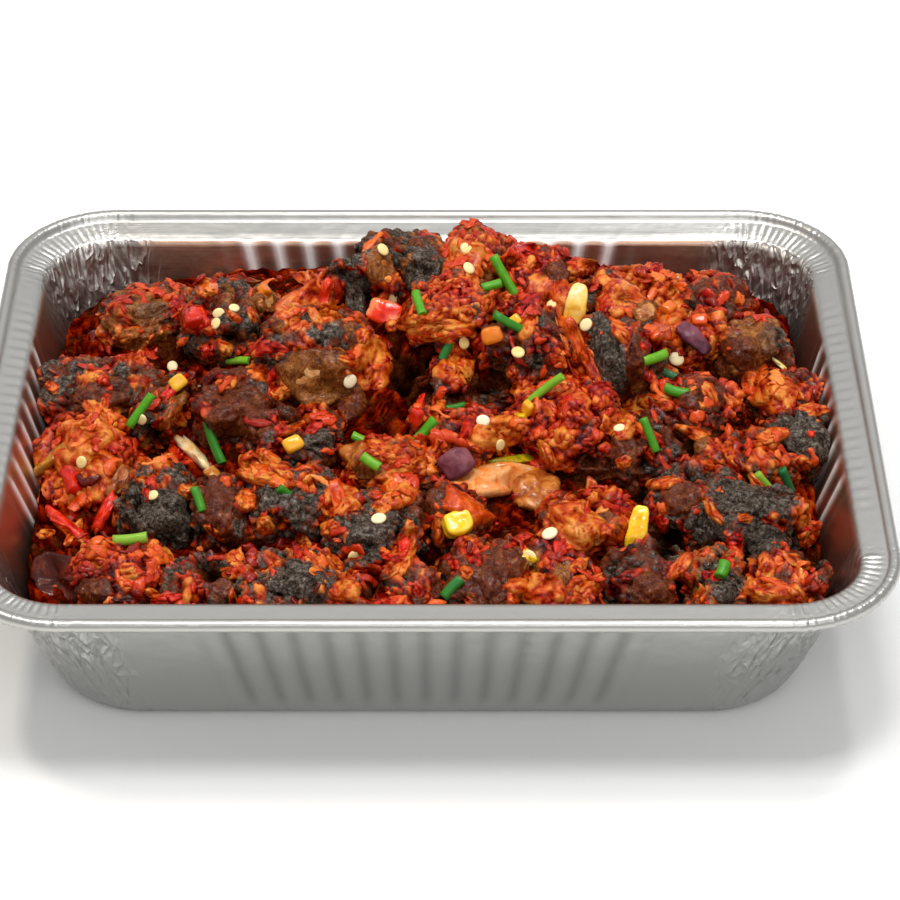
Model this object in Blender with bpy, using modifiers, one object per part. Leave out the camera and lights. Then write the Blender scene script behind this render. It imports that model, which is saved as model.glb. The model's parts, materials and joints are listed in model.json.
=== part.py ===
"""Takeaway foil tray filled with chunks of charred meat in pepper sauce.

Metres, +Z up, the tray standing on z = 0 and centred on X and Y, its long side along X and the
side that faces the guest at -Y. The tray is a half-size deep catering pan. The food is a bed of
sauce with a separate solid for every chunk of meat, clump of pulp and larger slice of vegetable.
Chopped chives, chilli seeds and small pepper dice are fused to the piece they lie on.
"""
import itertools
import math

import bmesh
import bpy
from mathutils import Matrix, Vector, noise
from mathutils.bvhtree import BVHTree

MM = 0.001

# Tray: a half-size deep aluminium catering pan, 12 3/4 x 10 3/8 x 2 9/16 inches
TRAY_LENGTH = 324 * MM
TRAY_DEPTH = 264 * MM
TRAY_HEIGHT = 65 * MM
FOIL = 0.6 * MM
RIM_CORNER = 40.6 * MM
FLANGE = 13 * MM
BEAD_RADIUS = 2.4 * MM
BEAD_TURNS = (-30, 25, 80, 135, 195)
FLANGE_DROP_FRONT = 1.9 * MM
FLANGE_DROP_BACK = 6.2 * MM
BASE_INSET = 30.6 * MM
BASE_CORNER = 34 * MM
FILLET_RADIUS = 7.7 * MM
FLUTE_PITCH = 12 * MM
FLUTE_DEPTH = 0.6 * MM
FLUTES_LONG = 14
FLUTES_SHORT = 9
FLUTE_FADE = 5 * MM
CORNER_STEPS = 6

# Food: the heap's smooth envelope, and how the pieces sit in it
EDGE_LEVEL = 50 * MM
HEAP_RISE = 38 * MM
HEAP_TOP = (12 * MM, 55 * MM)
HEAP_SPREAD = (95 * MM, 60 * MM)
PIECE_SINK = 0.29
POOL_LEVEL = 36 * MM
BED_BELOW_HEAP = 14 * MM
BED_RIPPLE = 1.2 * MM
RIPPLE_LENGTH = 11 * MM
BED_RINGS = (0.86, 0.70, 0.54, 0.38, 0.20)
BED_PARTS_LONG = 6
BED_PARTS_SHORT = 4
BED_CORNER_STEPS = 4

# Room between pieces, and the finest distances that count as one point
GAP = 0.4 * MM
WALL_CLEARANCE = 1.6 * MM
FLOOR_CLEARANCE = 0.4 * MM
NEIGHBOUR_REACH = 80 * MM
SAME_POINT = 0.02 * MM
SEARCH_DIRECTIONS = 200

# The toppings' plan places are those seen from the guest's eye on the smooth envelope
GUEST_EYE = Vector((8.4, -1004.1, 758.5)) * MM

# Finish: base colour, roughness, metallic
FINISHES = {
    "foil": ((0.80, 0.81, 0.82), 0.28, 1.0),
    "sauce": ((0.20, 0.018, 0.006), 0.22, 0.0),
    "meat": ((0.10, 0.040, 0.022), 0.42, 0.0),
    "char": ((0.045, 0.038, 0.036), 0.45, 0.0),
    "skin": ((0.25, 0.085, 0.022), 0.30, 0.0),
    "pulp": ((0.52, 0.060, 0.010), 0.30, 0.0),
    "yellow": ((0.80, 0.45, 0.02), 0.28, 0.0),
    "orange": ((0.72, 0.20, 0.012), 0.26, 0.0),
    "red": ((0.60, 0.022, 0.008), 0.24, 0.0),
    "onion": ((0.15, 0.012, 0.035), 0.28, 0.0),
    "cream": ((0.78, 0.50, 0.22), 0.35, 0.0),
    "amber": ((0.40, 0.13, 0.018), 0.24, 0.0),
}

# Pieces of meat and pulp: name, finish, plan place x y, size x y z, turn about Z and tilt in
# degrees, and how far above or below the envelope the piece lies. All lengths in millimetres.
CHUNKS = (
    ("meat_01", "skin", -106, 75, 40, 30, 21, 20, 8, 0),
    ("meat_02", "char", -76, 57, 30, 38, 30, -15, 12, 0),
    ("pulp_01", "pulp", 10, 38, 42, 35, 28, 12, 0, -2),
    ("meat_03", "char", -122, 27, 50, 32, 22, 8, 6, 0),
    ("meat_04", "skin", -41, 31, 48, 42, 39, -8, -10, 0),
    ("meat_05", "char", -8, 72, 41, 32, 29, -20, -12, -2),
    ("meat_06", "skin", 16, 74, 36, 35, 31, 10, 0, -3),
    ("pulp_02", "pulp", 43, 61, 38, 30, 25, -25, 10, -2),
    ("meat_07", "meat", 60, 49, 30, 30, 25, 15, 0, 0),
    ("meat_08", "char", 70, 30, 34, 40, 38, 12, 14, 1),
    ("pulp_03", "pulp", 80, 66, 40, 32, 20, -5, -6, 0),
    ("meat_09", "skin", 98, 46, 32, 28, 21, 35, 8, 0),
    ("meat_10", "meat", 107, 75, 34, 32, 20, -12, 0, -1),
    ("meat_11", "char", 120, 45, 32, 32, 26, 8, -10, 0),
    ("pulp_04", "pulp", 133, 20, 30, 32, 25, 20, 0, 0),
    ("meat_12", "char", 135, -4, 30, 32, 30, -14, 10, 0),
    ("pulp_05", "pulp", 97, 8, 40, 32, 28, 12, 8, 0),
    ("meat_13", "char", 94, -38, 38, 40, 32, -18, 0, -1),
    ("meat_14", "char", 116, -50, 40, 32, 32, 22, -12, 1),
    ("meat_15", "skin", 101, -85, 30, 34, 22, 10, 10, 0),
    ("meat_16", "meat", 123, -85, 32, 36, 21, -20, 0, 0),
    ("pulp_06", "pulp", 51, -5, 48, 42, 30, -10, 8, 1),
    ("meat_17", "char", 77, -14, 29, 35, 31, 15, 0, 0),
    ("pulp_07", "pulp", 58, -52, 40, 38, 32, 8, 6, 0),
    ("meat_18", "meat", 22, -81, 34, 39, 26, -15, 10, -1),
    ("meat_19", "meat", 46, -85, 28, 36, 24, 12, 0, -1),
    ("meat_20", "char", 76, -81, 35, 39, 25, -8, -8, 0),
    ("meat_21", "char", -15, -56, 42, 34, 30, 18, -8, 1),
    ("meat_22", "meat", 8, -50, 25, 32, 29, -12, 0, 0),
    ("meat_23", "char", -49, -40, 42, 32, 28, -6, 10, 1),
    ("meat_24", "meat", -73, -42, 28, 34, 29, 10, 0, -1),
    ("meat_25", "char", -94, -41, 32, 35, 34, -14, 8, 1),
    ("meat_26", "char", -49, -87, 42, 36, 22, 6, -6, 0),
    ("meat_27", "meat", -76, -87, 31, 39, 20, -22, 0, -2),
    ("meat_28", "meat", -70, 9, 35, 32, 28, 14, 8, 0),
    ("pulp_08", "pulp", -8, -26, 45, 32, 22, -16, 0, 1),
    ("pulp_09", "pulp", -124, -12, 44, 50, 36, 12, 10, 0),
    ("meat_29", "meat", 14, 14, 38, 38, 28, 24, 0, -8),
    ("meat_30", "meat", -96, 13, 32, 35, 25, -18, 0, -1),
    ("pulp_10", "pulp", -106, -79, 38, 39, 22, 16, 0, -1),
    ("meat_31", "meat", 37, 26, 36, 35, 31, -12, -8, 0),
    ("meat_32", "meat", -14, -89, 40, 36, 22, -10, 6, -1),
    ("meat_33", "char", 118, -16, 38, 32, 25, 30, 0, -1),
    ("meat_34", "meat", -64, 94, 62, 35, 25, -6, 0, -17),
    ("meat_35", "char", -2, 99, 65, 30, 30, 8, 0, -14),
    ("meat_36", "meat", 66, 95, 62, 32, 28, -8, 0, -20),
    ("meat_37", "char", -24, 54, 28, 30, 30, 25, 10, 0),
    ("meat_38", "meat", -48, -9, 38, 30, 22, 10, 0, 0),
    ("pulp_11", "pulp", 12, -10, 38, 30, 22, 5, 10, 0),
)
# Shape of a piece by its finish: blockiness of the superellipsoid, share of lumps on its radius
SURFACE = {"skin": (2.6, 0.16), "meat": (3.4, 0.16), "char": (3.6, 0.20), "pulp": (2.3, 0.24)}
LUMP_WAVES = 1.9

# Slices of vegetable: name, finish, plan place x y, length, width and thickness, turn, lean
# towards the guest and roll in degrees, and the sag of the slice's ends in millimetres
SLICES = (
    ("orange_pepper_fold", "orange", 26, -43, 36, 23, 3.4, 8, 58, 4, 5.0),
    ("yellow_pepper_dice", "yellow", 11, -59, 10, 9, 6.0, 20, 30, 10, 0),
    ("yellow_pepper_bent", "yellow", 74, -61, 17, 7, 4.0, 78, 40, 0, 2.5),
    ("red_onion_petal", "onion", 11, -28, 12, 11, 3.2, 30, 45, 0, 2.0),
    ("red_onion_strip", "onion", 99, 38, 15, 6.5, 3.2, -48, 40, 0, 1.5),
    ("onion_sliver", "cream", -83, -21, 23, 5.5, 3.4, -52, 45, 0, 2.0),
    ("garlic_slice", "yellow", 55, 40, 15, 8.0, 3.0, 76, 50, 0, 2.5),
    ("red_pepper_strip", "red", -14, 31, 17, 9.5, 4.0, -22, 45, 0, 2.5),
    ("yellow_pepper_curl", "amber", -135, -36, 15, 24, 2.8, 8, 30, -20, 4.0),
)
SLICE_LIFT = 0.15
SLICE_NARROWING = 0.28
SLICE_TAPER = 0.10

# Chives: plan place x y, length, turn in degrees seen from the guest, radius
CHIVES = (
    (-69, 24, 9.5, 0, 1.7), (-104, 6, 14.5, 54, 1.8), (-76, -13, 17, -70, 1.9),
    (-103, -66, 12, 6, 2.0), (-81, -44, 9.5, -70, 1.7), (-3, 34, 11, -72, 1.7),
    (29, 49, 17, -60, 1.9), (24, 41, 7.5, 15, 1.9), (32, 25, 19, -26, 1.8),
    (43, 3, 18, 38, 1.6), (6, 15, 10, 64, 1.7), (10, -5, 7.5, 12, 1.5),
    (-1, -15, 13.5, 48, 2.0), (83, 23, 10.5, 18, 1.9), (88, 17, 10, -25, 1.7),
    (91, 10, 9, -14, 1.9), (81, -11, 13, -68, 1.6), (-20, -27, 7.5, -34, 1.9),
    (-24, -17, 6.5, -24, 1.7), (-50, -39, 6.5, -35, 1.7), (9, -93, 9, 46, 1.9),
    (103, -84, 6, 70, 2.2), (128, -31, 11.5, -68, 1.8), (121, -34, 12, -50, 1.5),
)
CHIVE_SIDES = 5
CHIVE_NARROWING = 0.94
CHIVE_RISE = 0.35
CHIVE_CUTS = (1, 0.8, 0.6)

# Seeds: plan place x y and longest size in millimetres
SEEDS = (
    (-28, 8, 5.6), (-78, 55, 4.8), (-79, 48, 4.4), (-73, 55, 4.6), (-94, 28, 4.8),
    (14, 67, 5.2), (15, 51, 5.6), (-17, 73, 5.0), (-13, 38, 5.0), (13, 19, 4.8),
    (33, 16, 5.4), (46, 37, 4.8), (59, 32, 5.2), (92, 25, 6.0), (-124, -21, 4.6),
    (-104, 2, 4.4), (-97, -41, 4.6), (-17, -56, 5.6), (-25, -75, 5.6), (20, -10, 5.0),
    (43, -64, 5.8), (36, -76, 6.6), (26, -19, 4.6), (70, -10, 4.4), (12, 92, 4.8),
)
SEED_SHAPE = (1, 0.82, 0.55)
SEED_RISE = 0.08
SEED_TURN = math.radians(109)

# Small dice of pepper: plan place x y, side and turn
DICE = (
    (24, 22, 7.5, 15), (32, 28, 5.0, 40), (-48, -17, 7.0, 30), (37, -4, 5.5, 60),
    (-88, 56, 7.0, 10), (-92, 20, 6.5, 35), (-62, 62, 6.0, 20), (90, 52, 6.0, 50),
    (102, 50, 5.5, 5), (-3, -8, 6.5, 70),
)
DICE_SHAPE = (1, 0.8, 0.55)
DICE_RISE = 0.12

SHARP_EDGE = math.radians(45)


def clear_scene():
    for thing in list(bpy.data.objects):
        bpy.data.objects.remove(thing, do_unlink=True)


def new_collection(name):
    group = bpy.data.collections.new(name)
    bpy.context.scene.collection.children.link(group)
    return group


def finish_of(name):
    material = bpy.data.materials.get(name)
    if material is None:
        colour, roughness, metallic = FINISHES[name]
        material = bpy.data.materials.new(name)
        material.use_nodes = True
        shader = material.node_tree.nodes["Principled BSDF"]
        shader.inputs["Base Color"].default_value = (*colour, 1)
        shader.inputs["Roughness"].default_value = roughness
        shader.inputs["Metallic"].default_value = metallic
        material.diffuse_color = (*colour, 1)
    return material


def object_from(bm, name, group, finish):
    mesh = bpy.data.meshes.new(name)
    bm.to_mesh(mesh)
    bm.free()
    mesh.materials.append(finish_of(finish))
    thing = bpy.data.objects.new(name, mesh)
    group.objects.link(thing)
    return thing


def apply_modifiers(thing):
    """Replaces the object's mesh by its evaluated one."""
    graph = bpy.context.evaluated_depsgraph_get()
    graph.update()
    mesh = bpy.data.meshes.new_from_object(thing.evaluated_get(graph))
    thing.modifiers.clear()
    thing.data = mesh


def join_by_boolean(thing, operation, solver, group):
    """One Boolean of the object with everything in a collection, whose objects are then removed."""
    step = thing.modifiers.new(operation.lower(), "BOOLEAN")
    step.operation = operation
    step.solver = solver
    step.operand_type = "COLLECTION"
    step.collection = group
    apply_modifiers(thing)
    for operand in list(group.objects):
        bpy.data.objects.remove(operand, do_unlink=True)


def heap_height(x, y):
    """The smooth envelope of the food: a level edge and one rounded hill towards the back."""
    across = (x - HEAP_TOP[0]) / HEAP_SPREAD[0]
    along = (y - HEAP_TOP[1]) / HEAP_SPREAD[1]
    return EDGE_LEVEL + HEAP_RISE * math.exp(-across * across - along * along)


def bed_height(x, y):
    """Top of the sauce: a level pool round the sides, rising under the heap, with ripples."""
    ripple = BED_RIPPLE * noise.noise(Vector((x, y, 0)) / RIPPLE_LENGTH)
    return max(POOL_LEVEL, heap_height(x, y) - BED_BELOW_HEAP + ripple)


# Tray


def wall_draft():
    return math.atan((BASE_INSET - FLANGE) / (TRAY_HEIGHT - FLANGE_DROP_FRONT))


def wall_inset(z):
    """Inset of the wall's outer face from the rim's outer edge, at height z."""
    return BASE_INSET - z * math.tan(wall_draft())


def fillet_point(turned):
    """Inset and height on the base's edge fillet, turned from straight down towards the wall."""
    centre = BASE_INSET + FILLET_RADIUS * math.tan((math.pi / 2 - wall_draft()) / 2)
    return centre - FILLET_RADIUS * math.sin(turned), FILLET_RADIUS * (1 - math.cos(turned))


def flange_drop(y):
    """The flange lies lower inside than at its bead, little at the front and more at the back."""
    share = min(1, max(0, 0.5 + y / (TRAY_DEPTH - 2 * FLANGE)))
    return FLANGE_DROP_FRONT + (FLANGE_DROP_BACK - FLANGE_DROP_FRONT) * share


def rounded_ring(inset, corner, steps, straights):
    """A closed ring of plan points: each side's own points, then a round corner, four times."""
    half_x = TRAY_LENGTH / 2 - inset
    half_y = TRAY_DEPTH / 2 - inset
    ring = []
    for side in range(4):
        turn = Matrix.Rotation(side * math.pi / 2, 2)
        reach, run = (half_y, half_x) if side % 2 == 0 else (half_x, half_y)
        for along, out in straights(side, run - corner):
            ring.append(turn @ Vector((along, -reach - out)))
        for step in range(steps + 1):
            angle = math.pi / 2 * step / steps
            ring.append(turn @ Vector((run - corner + corner * math.sin(angle),
                                       -reach + corner - corner * math.cos(angle))))
    return ring


def tray_ring(inset, corner, flute=0.0):
    """A ring of the tray's wall, its straight sides folded into zigzag flutes."""
    def flutes_of(side, _):
        flutes = FLUTES_SHORT if side % 2 else FLUTES_LONG
        steps = 2 * flutes
        for step in range(steps + 1):
            out = 0 if step in (0, steps) else flute * (1 if step % 2 else -1)
            yield (step / steps - 0.5) * flutes * FLUTE_PITCH, out
    return rounded_ring(inset, corner, CORNER_STEPS, flutes_of)


def tray_stations():
    """The wall's outer profile from the base to the opening: inset, height, corner, flute."""
    quarter = math.pi / 2 - wall_draft()
    opening = TRAY_HEIGHT - FLANGE_DROP_BACK
    for share in (0, 0.5, 1):
        inset, height = fillet_point(quarter * share)
        corner = BASE_CORNER - max(0, inset - BASE_INSET)
        yield inset, height, corner, 0
    for level in (height + FLUTE_FADE, opening - FLUTE_FADE):
        corner = BASE_CORNER + (RIM_CORNER - FLANGE - BASE_CORNER) * level / opening
        yield wall_inset(level), level, corner, FLUTE_DEPTH


def loft(bm, rings):
    """Side faces between rings of the same number of points, and a face over the first ring."""
    count = len(rings[0])
    for lower, upper in zip(rings, rings[1:]):
        for i in range(count):
            j = (i + 1) % count
            bm.faces.new((lower[i], lower[j], upper[j], upper[i]))
    bm.faces.new(rings[0][::-1])


def build_tray(group):
    bm = bmesh.new()
    rings = []
    for inset, height, corner, flute in tray_stations():
        rings.append([bm.verts.new((*p, height)) for p in tray_ring(inset, corner, flute)])
    opening = tray_ring(FLANGE, RIM_CORNER - FLANGE)
    rings.append([bm.verts.new((*p, TRAY_HEIGHT - flange_drop(p.y))) for p in opening])
    bead = BEAD_RADIUS - FOIL
    for turned in BEAD_TURNS:
        angle = math.radians(turned)
        inset = BEAD_RADIUS - bead * math.sin(angle)
        height = TRAY_HEIGHT - BEAD_RADIUS + bead * math.cos(angle)
        rings.append([bm.verts.new((*p, height)) for p in tray_ring(inset, RIM_CORNER - inset)])
    loft(bm, rings)
    bmesh.ops.dissolve_limit(bm, angle_limit=math.radians(0.4), verts=bm.verts, edges=bm.edges)
    tray = object_from(bm, "foil_tray", group, "foil")
    wall = tray.modifiers.new("foil", "SOLIDIFY")
    wall.thickness = FOIL
    wall.offset = -1
    wall.use_even_offset = True


# Pieces of food before they are trimmed to each other


def lumpy(shape, blockiness, lump, seed):
    """A cube's grid pushed out to a superellipsoid, with low noise on its radius."""
    bm = bmesh.new()
    bmesh.ops.create_cube(bm, size=2)
    bmesh.ops.subdivide_edges(bm, edges=bm.edges[:], cuts=2, use_grid_fill=True)
    own_noise = Vector((3.7, 1.3, 0)) * seed
    for vert in bm.verts:
        way = vert.co.normalized()
        reach = sum(abs(c) ** blockiness for c in way) ** (-1 / blockiness)
        reach *= 1 + lump * noise.noise(way * LUMP_WAVES + own_noise)
        vert.co = Vector(way[i] * reach * shape[i] / 2 for i in range(3))
    return bm


def chunk(row, seed):
    _, finish, x, y, length, width, height, turn, tilt, lift = row
    bm = lumpy(Vector((length, width, height)) * MM, *SURFACE[finish], seed)
    x, y = x * MM, y * MM
    z = heap_height(x, y) + (lift - PIECE_SINK * height) * MM
    place = Matrix.Translation((x, y, z)) @ Matrix.Rotation(math.radians(turn), 4, "Z")
    bm.transform(place @ Matrix.Rotation(math.radians(tilt), 4, "X"))
    return bm


def sliced(row, spot):
    """A small slab, narrower at its ends and bent down there, laid on the surface under it."""
    _, _, _, _, length, width, thick, turn, lean, roll, sag = row
    bm = bmesh.new()
    bmesh.ops.create_cube(bm, size=1)
    lengthwise = [e for e in bm.edges if e.verts[0].co.x != e.verts[1].co.x]
    bmesh.ops.subdivide_edges(bm, edges=lengthwise, cuts=3)
    for vert in bm.verts:
        u = 2 * vert.co.x
        narrow = 1 - SLICE_NARROWING * u * u - SLICE_TAPER * u
        vert.co = Vector((vert.co.x * length, vert.co.y * width * narrow,
                          vert.co.z * thick - sag * u * u)) * MM
    tilt = Matrix.Rotation(math.radians(lean), 4, "X") @ Matrix.Rotation(math.radians(roll), 4, "Y")
    rest = Matrix.Translation(spot + Vector((0, 0, thick * SLICE_LIFT * MM)))
    bm.transform(rest @ tilt @ Matrix.Rotation(math.radians(turn), 4, "Z"))
    bm.normal_update()
    return bm


# Trimming the pieces so that each keeps clear of its neighbours and of the tray


def directions(count):
    """Evenly spread unit vectors, on a golden spiral from pole to pole."""
    golden = math.pi * (3 - math.sqrt(5))
    spread = []
    for i in range(count):
        z = 1 - 2 * (i + 0.5) / count
        ring = math.sqrt(1 - z * z)
        spread.append(Vector((ring * math.cos(golden * i), ring * math.sin(golden * i), z)))
    return spread


def extent(bm, way):
    reach = [v.co.dot(way) for v in bm.verts]
    return min(reach), max(reach)


def middle_of(bm):
    return sum((v.co for v in bm.verts), Vector()) / len(bm.verts)


def cut_off(bm, point, normal):
    """Removes what lies beyond a plane and closes the cut with one face."""
    if extent(bm, normal)[1] <= point.dot(normal):
        return
    geometry = bm.verts[:] + bm.edges[:] + bm.faces[:]
    bmesh.ops.bisect_plane(bm, geom=geometry, dist=SAME_POINT / 100, plane_co=point, plane_no=normal,
                           clear_outer=True)
    open_edges = [e for e in bm.edges if e.is_boundary]
    bmesh.ops.holes_fill(bm, edges=open_edges, sides=0)
    bmesh.ops.remove_doubles(bm, verts=bm.verts, dist=SAME_POINT / 2)


def trim_pair(first, second, ways, firm_second=False):
    """Parts two pieces by the plane along which they overlap least, with a gap between them."""
    apart = middle_of(second) - middle_of(first)
    if apart.length > NEIGHBOUR_REACH:
        return
    least = None
    for way in ways:
        if way.dot(apart) <= 0:
            continue
        overlap = extent(first, way)[1] - extent(second, way)[0]
        if overlap <= -GAP:
            return
        if least is None or overlap < least[0]:
            least = (overlap, way)
    way = least[1]
    high = extent(first, way)[1]
    low = extent(second, way)[0]
    middle = low - GAP / 2 if firm_second else (high + low) / 2
    cut_off(first, way * (middle - GAP / 2), way)
    cut_off(second, way * (middle + GAP / 2), -way)


def tray_planes():
    """Planes just inside the drafted walls, their round corners and the floor."""
    slope = math.tan(wall_draft())
    inset = BASE_INSET + WALL_CLEARANCE
    straight_x = TRAY_LENGTH / 2 - inset - BASE_CORNER
    straight_y = TRAY_DEPTH / 2 - inset - BASE_CORNER
    for step in range(16):
        angle = math.pi / 8 * step
        way = Vector((math.cos(angle), math.sin(angle), 0))
        reach = abs(way.x) * straight_x + abs(way.y) * straight_y + BASE_CORNER
        yield way * reach, Vector((way.x, way.y, -slope)).normalized()
    yield Vector((0, 0, FOIL + FLOOR_CLEARANCE)), Vector((0, 0, -1))


def trim_to_tray(bm):
    for point, normal in tray_planes():
        cut_off(bm, point, normal)


def inside_tray(bm):
    return all(extent(bm, normal)[1] < point.dot(normal) for point, normal in tray_planes())


# Sauce bed


def bed_ring(inset, corner):
    """The bed's plan ring: a few points on each side and round corners."""
    def even_points(side, half_run):
        parts = BED_PARTS_SHORT if side % 2 else BED_PARTS_LONG
        for step in range(1, parts):
            yield (2 * step / parts - 1) * half_run, 0
    return rounded_ring(inset, corner, BED_CORNER_STEPS, even_points)


def build_bed(group):
    """A closed loft that fills the tray's foot, its top following the heap."""
    clear = FOIL + WALL_CLEARANCE
    quarter = math.pi / 2 - wall_draft()
    low_inset, _ = fillet_point(quarter * 0.05)
    side_inset, side_height = fillet_point(quarter * 0.9)
    levels = ((low_inset + clear, FOIL + FLOOR_CLEARANCE), (side_inset + clear, side_height),
              (wall_inset(POOL_LEVEL) + clear, POOL_LEVEL))
    bm = bmesh.new()
    rings = []
    for inset, height in levels:
        corner = BASE_CORNER - clear - max(0, inset - BASE_INSET)
        plan = bed_ring(inset, corner)
        rings.append([bm.verts.new((*p, height)) for p in plan])
    middle = Vector(HEAP_TOP)
    for share in BED_RINGS:
        shrunk = [middle.lerp(p, share) for p in plan]
        rings.append([bm.verts.new((*p, bed_height(*p))) for p in shrunk])
    loft(bm, rings)
    crown = bm.verts.new((*HEAP_TOP, bed_height(*HEAP_TOP)))
    for first, second in zip(rings[-1], rings[-1][1:] + rings[-1][:1]):
        bm.faces.new((first, second, crown))
    return object_from(bm, "sauce_bed", group, "sauce")


def pocket_for(bm):
    """The fewest-sided solid that holds a piece with a gap: its box with the corners cut off."""
    pocket = bmesh.new()
    bmesh.ops.create_cube(pocket, size=2)
    spans = [extent(bm, axis) for axis in (Vector((1, 0, 0)), Vector((0, 1, 0)), Vector((0, 0, 1)))]
    for vert in pocket.verts:
        vert.co = Vector(high + GAP if c > 0 else low - GAP for c, (low, high) in zip(vert.co, spans))
    for corner in itertools.product((-1, 1), repeat=3):
        way = Vector(corner).normalized()
        cut_off(pocket, way * (extent(bm, way)[1] + GAP), way)
    return pocket


def islands_of(bm):
    """The mesh's separate bodies, as lists of vertices."""
    left = set(bm.verts)
    islands = []
    while left:
        reached = [left.pop()]
        for vert in reached:
            for edge in vert.link_edges:
                other = edge.other_vert(vert)
                if other in left:
                    left.remove(other)
                    reached.append(other)
        islands.append(reached)
    return islands


def keep_largest(thing):
    """Drops the loose scraps that a Boolean leaves."""
    bm = bmesh.new()
    bm.from_mesh(thing.data)
    bmesh.ops.remove_doubles(bm, verts=bm.verts, dist=SAME_POINT)
    bmesh.ops.dissolve_degenerate(bm, edges=bm.edges, dist=SAME_POINT)
    scraps = sorted(islands_of(bm), key=len)[:-1]
    bmesh.ops.delete(bm, geom=[v for island in scraps for v in island], context="VERTS")
    bm.to_mesh(thing.data)
    bm.free()


# Chives, seeds and dice, fused to what they lie on


def sight_trees(bodies, bed):
    """What a line of sight can meet: every piece of food, and the sauce between them."""
    trees = {name: BVHTree.FromBMesh(body) for name, body in bodies.items()}
    sauce = bmesh.new()
    sauce.from_mesh(bed.data)
    trees[bed.name] = BVHTree.FromBMesh(sauce)
    sauce.free()
    return trees


def first_hit(trees, x, y):
    """Where the guest's line of sight to a plan place meets the food: point, normal, owner."""
    x, y = x * MM, y * MM
    target = Vector((x, y, heap_height(x, y)))
    way = (target - GUEST_EYE).normalized()
    hits = []
    for name, tree in trees.items():
        spot, normal, _, reach = tree.ray_cast(GUEST_EYE, way)
        if spot is not None:
            hits.append((reach, name, spot, normal))
    _, name, spot, normal = min(hits)
    return spot, normal, name


def looked_turn(spot, up, degrees):
    """The direction in the surface's plane that looks turned by an angle to the guest."""
    sight = (spot - GUEST_EYE).normalized()
    right = Vector((1, 0, 0))
    look = right * math.cos(math.radians(degrees)) + right.cross(sight) * math.sin(math.radians(degrees))
    facing = (up - sight).normalized()
    return (look - sight * look.dot(facing) / sight.dot(facing)).normalized()


def laid_on(up):
    return up.to_track_quat("Z", "Y").to_matrix().to_4x4()


def chive(length, radius, spot, along, up):
    bm = bmesh.new()
    bmesh.ops.create_cone(bm, cap_ends=True, segments=CHIVE_SIDES, radius1=radius,
                          radius2=radius * CHIVE_NARROWING, depth=length)
    side = along.cross(up).normalized()
    above = side.cross(along)
    turn = Matrix((side, above, along)).transposed().to_4x4()
    bm.transform(Matrix.Translation(spot + above * radius * CHIVE_RISE) @ turn)
    return bm


def seed(size, spot, up, number):
    bm = bmesh.new()
    bmesh.ops.create_icosphere(bm, subdivisions=1, radius=size / 2)
    bmesh.ops.scale(bm, vec=SEED_SHAPE, verts=bm.verts)
    place = Matrix.Translation(spot + up * size * SEED_RISE) @ laid_on(up)
    bm.transform(place @ Matrix.Rotation(number * SEED_TURN, 4, "Z"))
    return bm


def dice(side, spot, up, turn):
    bm = bmesh.new()
    bmesh.ops.create_cube(bm, size=side)
    bmesh.ops.scale(bm, vec=DICE_SHAPE, verts=bm.verts)
    place = Matrix.Translation(spot + up * side * DICE_RISE) @ laid_on(up)
    bm.transform(place @ Matrix.Rotation(math.radians(turn), 4, "Z"))
    return bm


def is_clear(small, host, bodies, ways):
    """Whether a small topping stays inside the tray and a gap away from all but its host."""
    if host not in bodies or not inside_tray(small):
        return False
    for name, other in bodies.items():
        if name == host:
            continue
        if all(extent(small, way)[1] > extent(other, way)[0] - GAP for way in ways):
            return False
    return True


def small_toppings(bodies, trees, ways):
    """Every chive, seed and dice that lies clear of the pieces beside its host, by host."""
    fused = {}

    def lay(body, host):
        clear = is_clear(body, host, bodies, ways)
        if clear:
            fused.setdefault(host, []).append(body)
        return clear

    for x, y, length, turn, radius in CHIVES:
        spot, up, host = first_hit(trees, x, y)
        along = looked_turn(spot, up, turn)
        for share in CHIVE_CUTS:
            if lay(chive(length * share * MM, radius * MM, spot, along, up), host):
                break
    for number, (x, y, size) in enumerate(SEEDS):
        spot, up, host = first_hit(trees, x, y)
        lay(seed(size * MM, spot, up, number), host)
    for x, y, side, turn in DICE:
        spot, up, host = first_hit(trees, x, y)
        lay(dice(side * MM, spot, up, turn), host)
    return fused


def fuse(thing, small, finish):
    """One union of the host with all the small toppings on it."""
    group = new_collection(thing.name + "_toppings")
    for i, body in enumerate(small):
        object_from(body, f"topping_{i}", group, finish)
    join_by_boolean(thing, "UNION", "EXACT", group)
    bpy.data.collections.remove(group)
    keep_largest(thing)


def shaped_pieces(ways):
    """All chunks, trimmed to the tray and to each other."""
    bodies = {row[0]: chunk(row, number) for number, row in enumerate(CHUNKS)}
    for body in bodies.values():
        trim_to_tray(body)
    for first, second in itertools.combinations(bodies.values(), 2):
        trim_pair(first, second, ways)
    return bodies


def lay_slices(bodies, trees, ways):
    """Adds the vegetable slices, each firm, with the chunks under it cut back to make room."""
    for row in SLICES:
        spot, _, _ = first_hit(trees, row[2], row[3])
        body = sliced(row, spot)
        own_ways = [face.normal.copy() for face in body.faces]
        trim_to_tray(body)
        for other in bodies.values():
            trim_pair(other, body, ways + own_ways, firm_second=True)
        bodies[row[0]] = body


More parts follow.
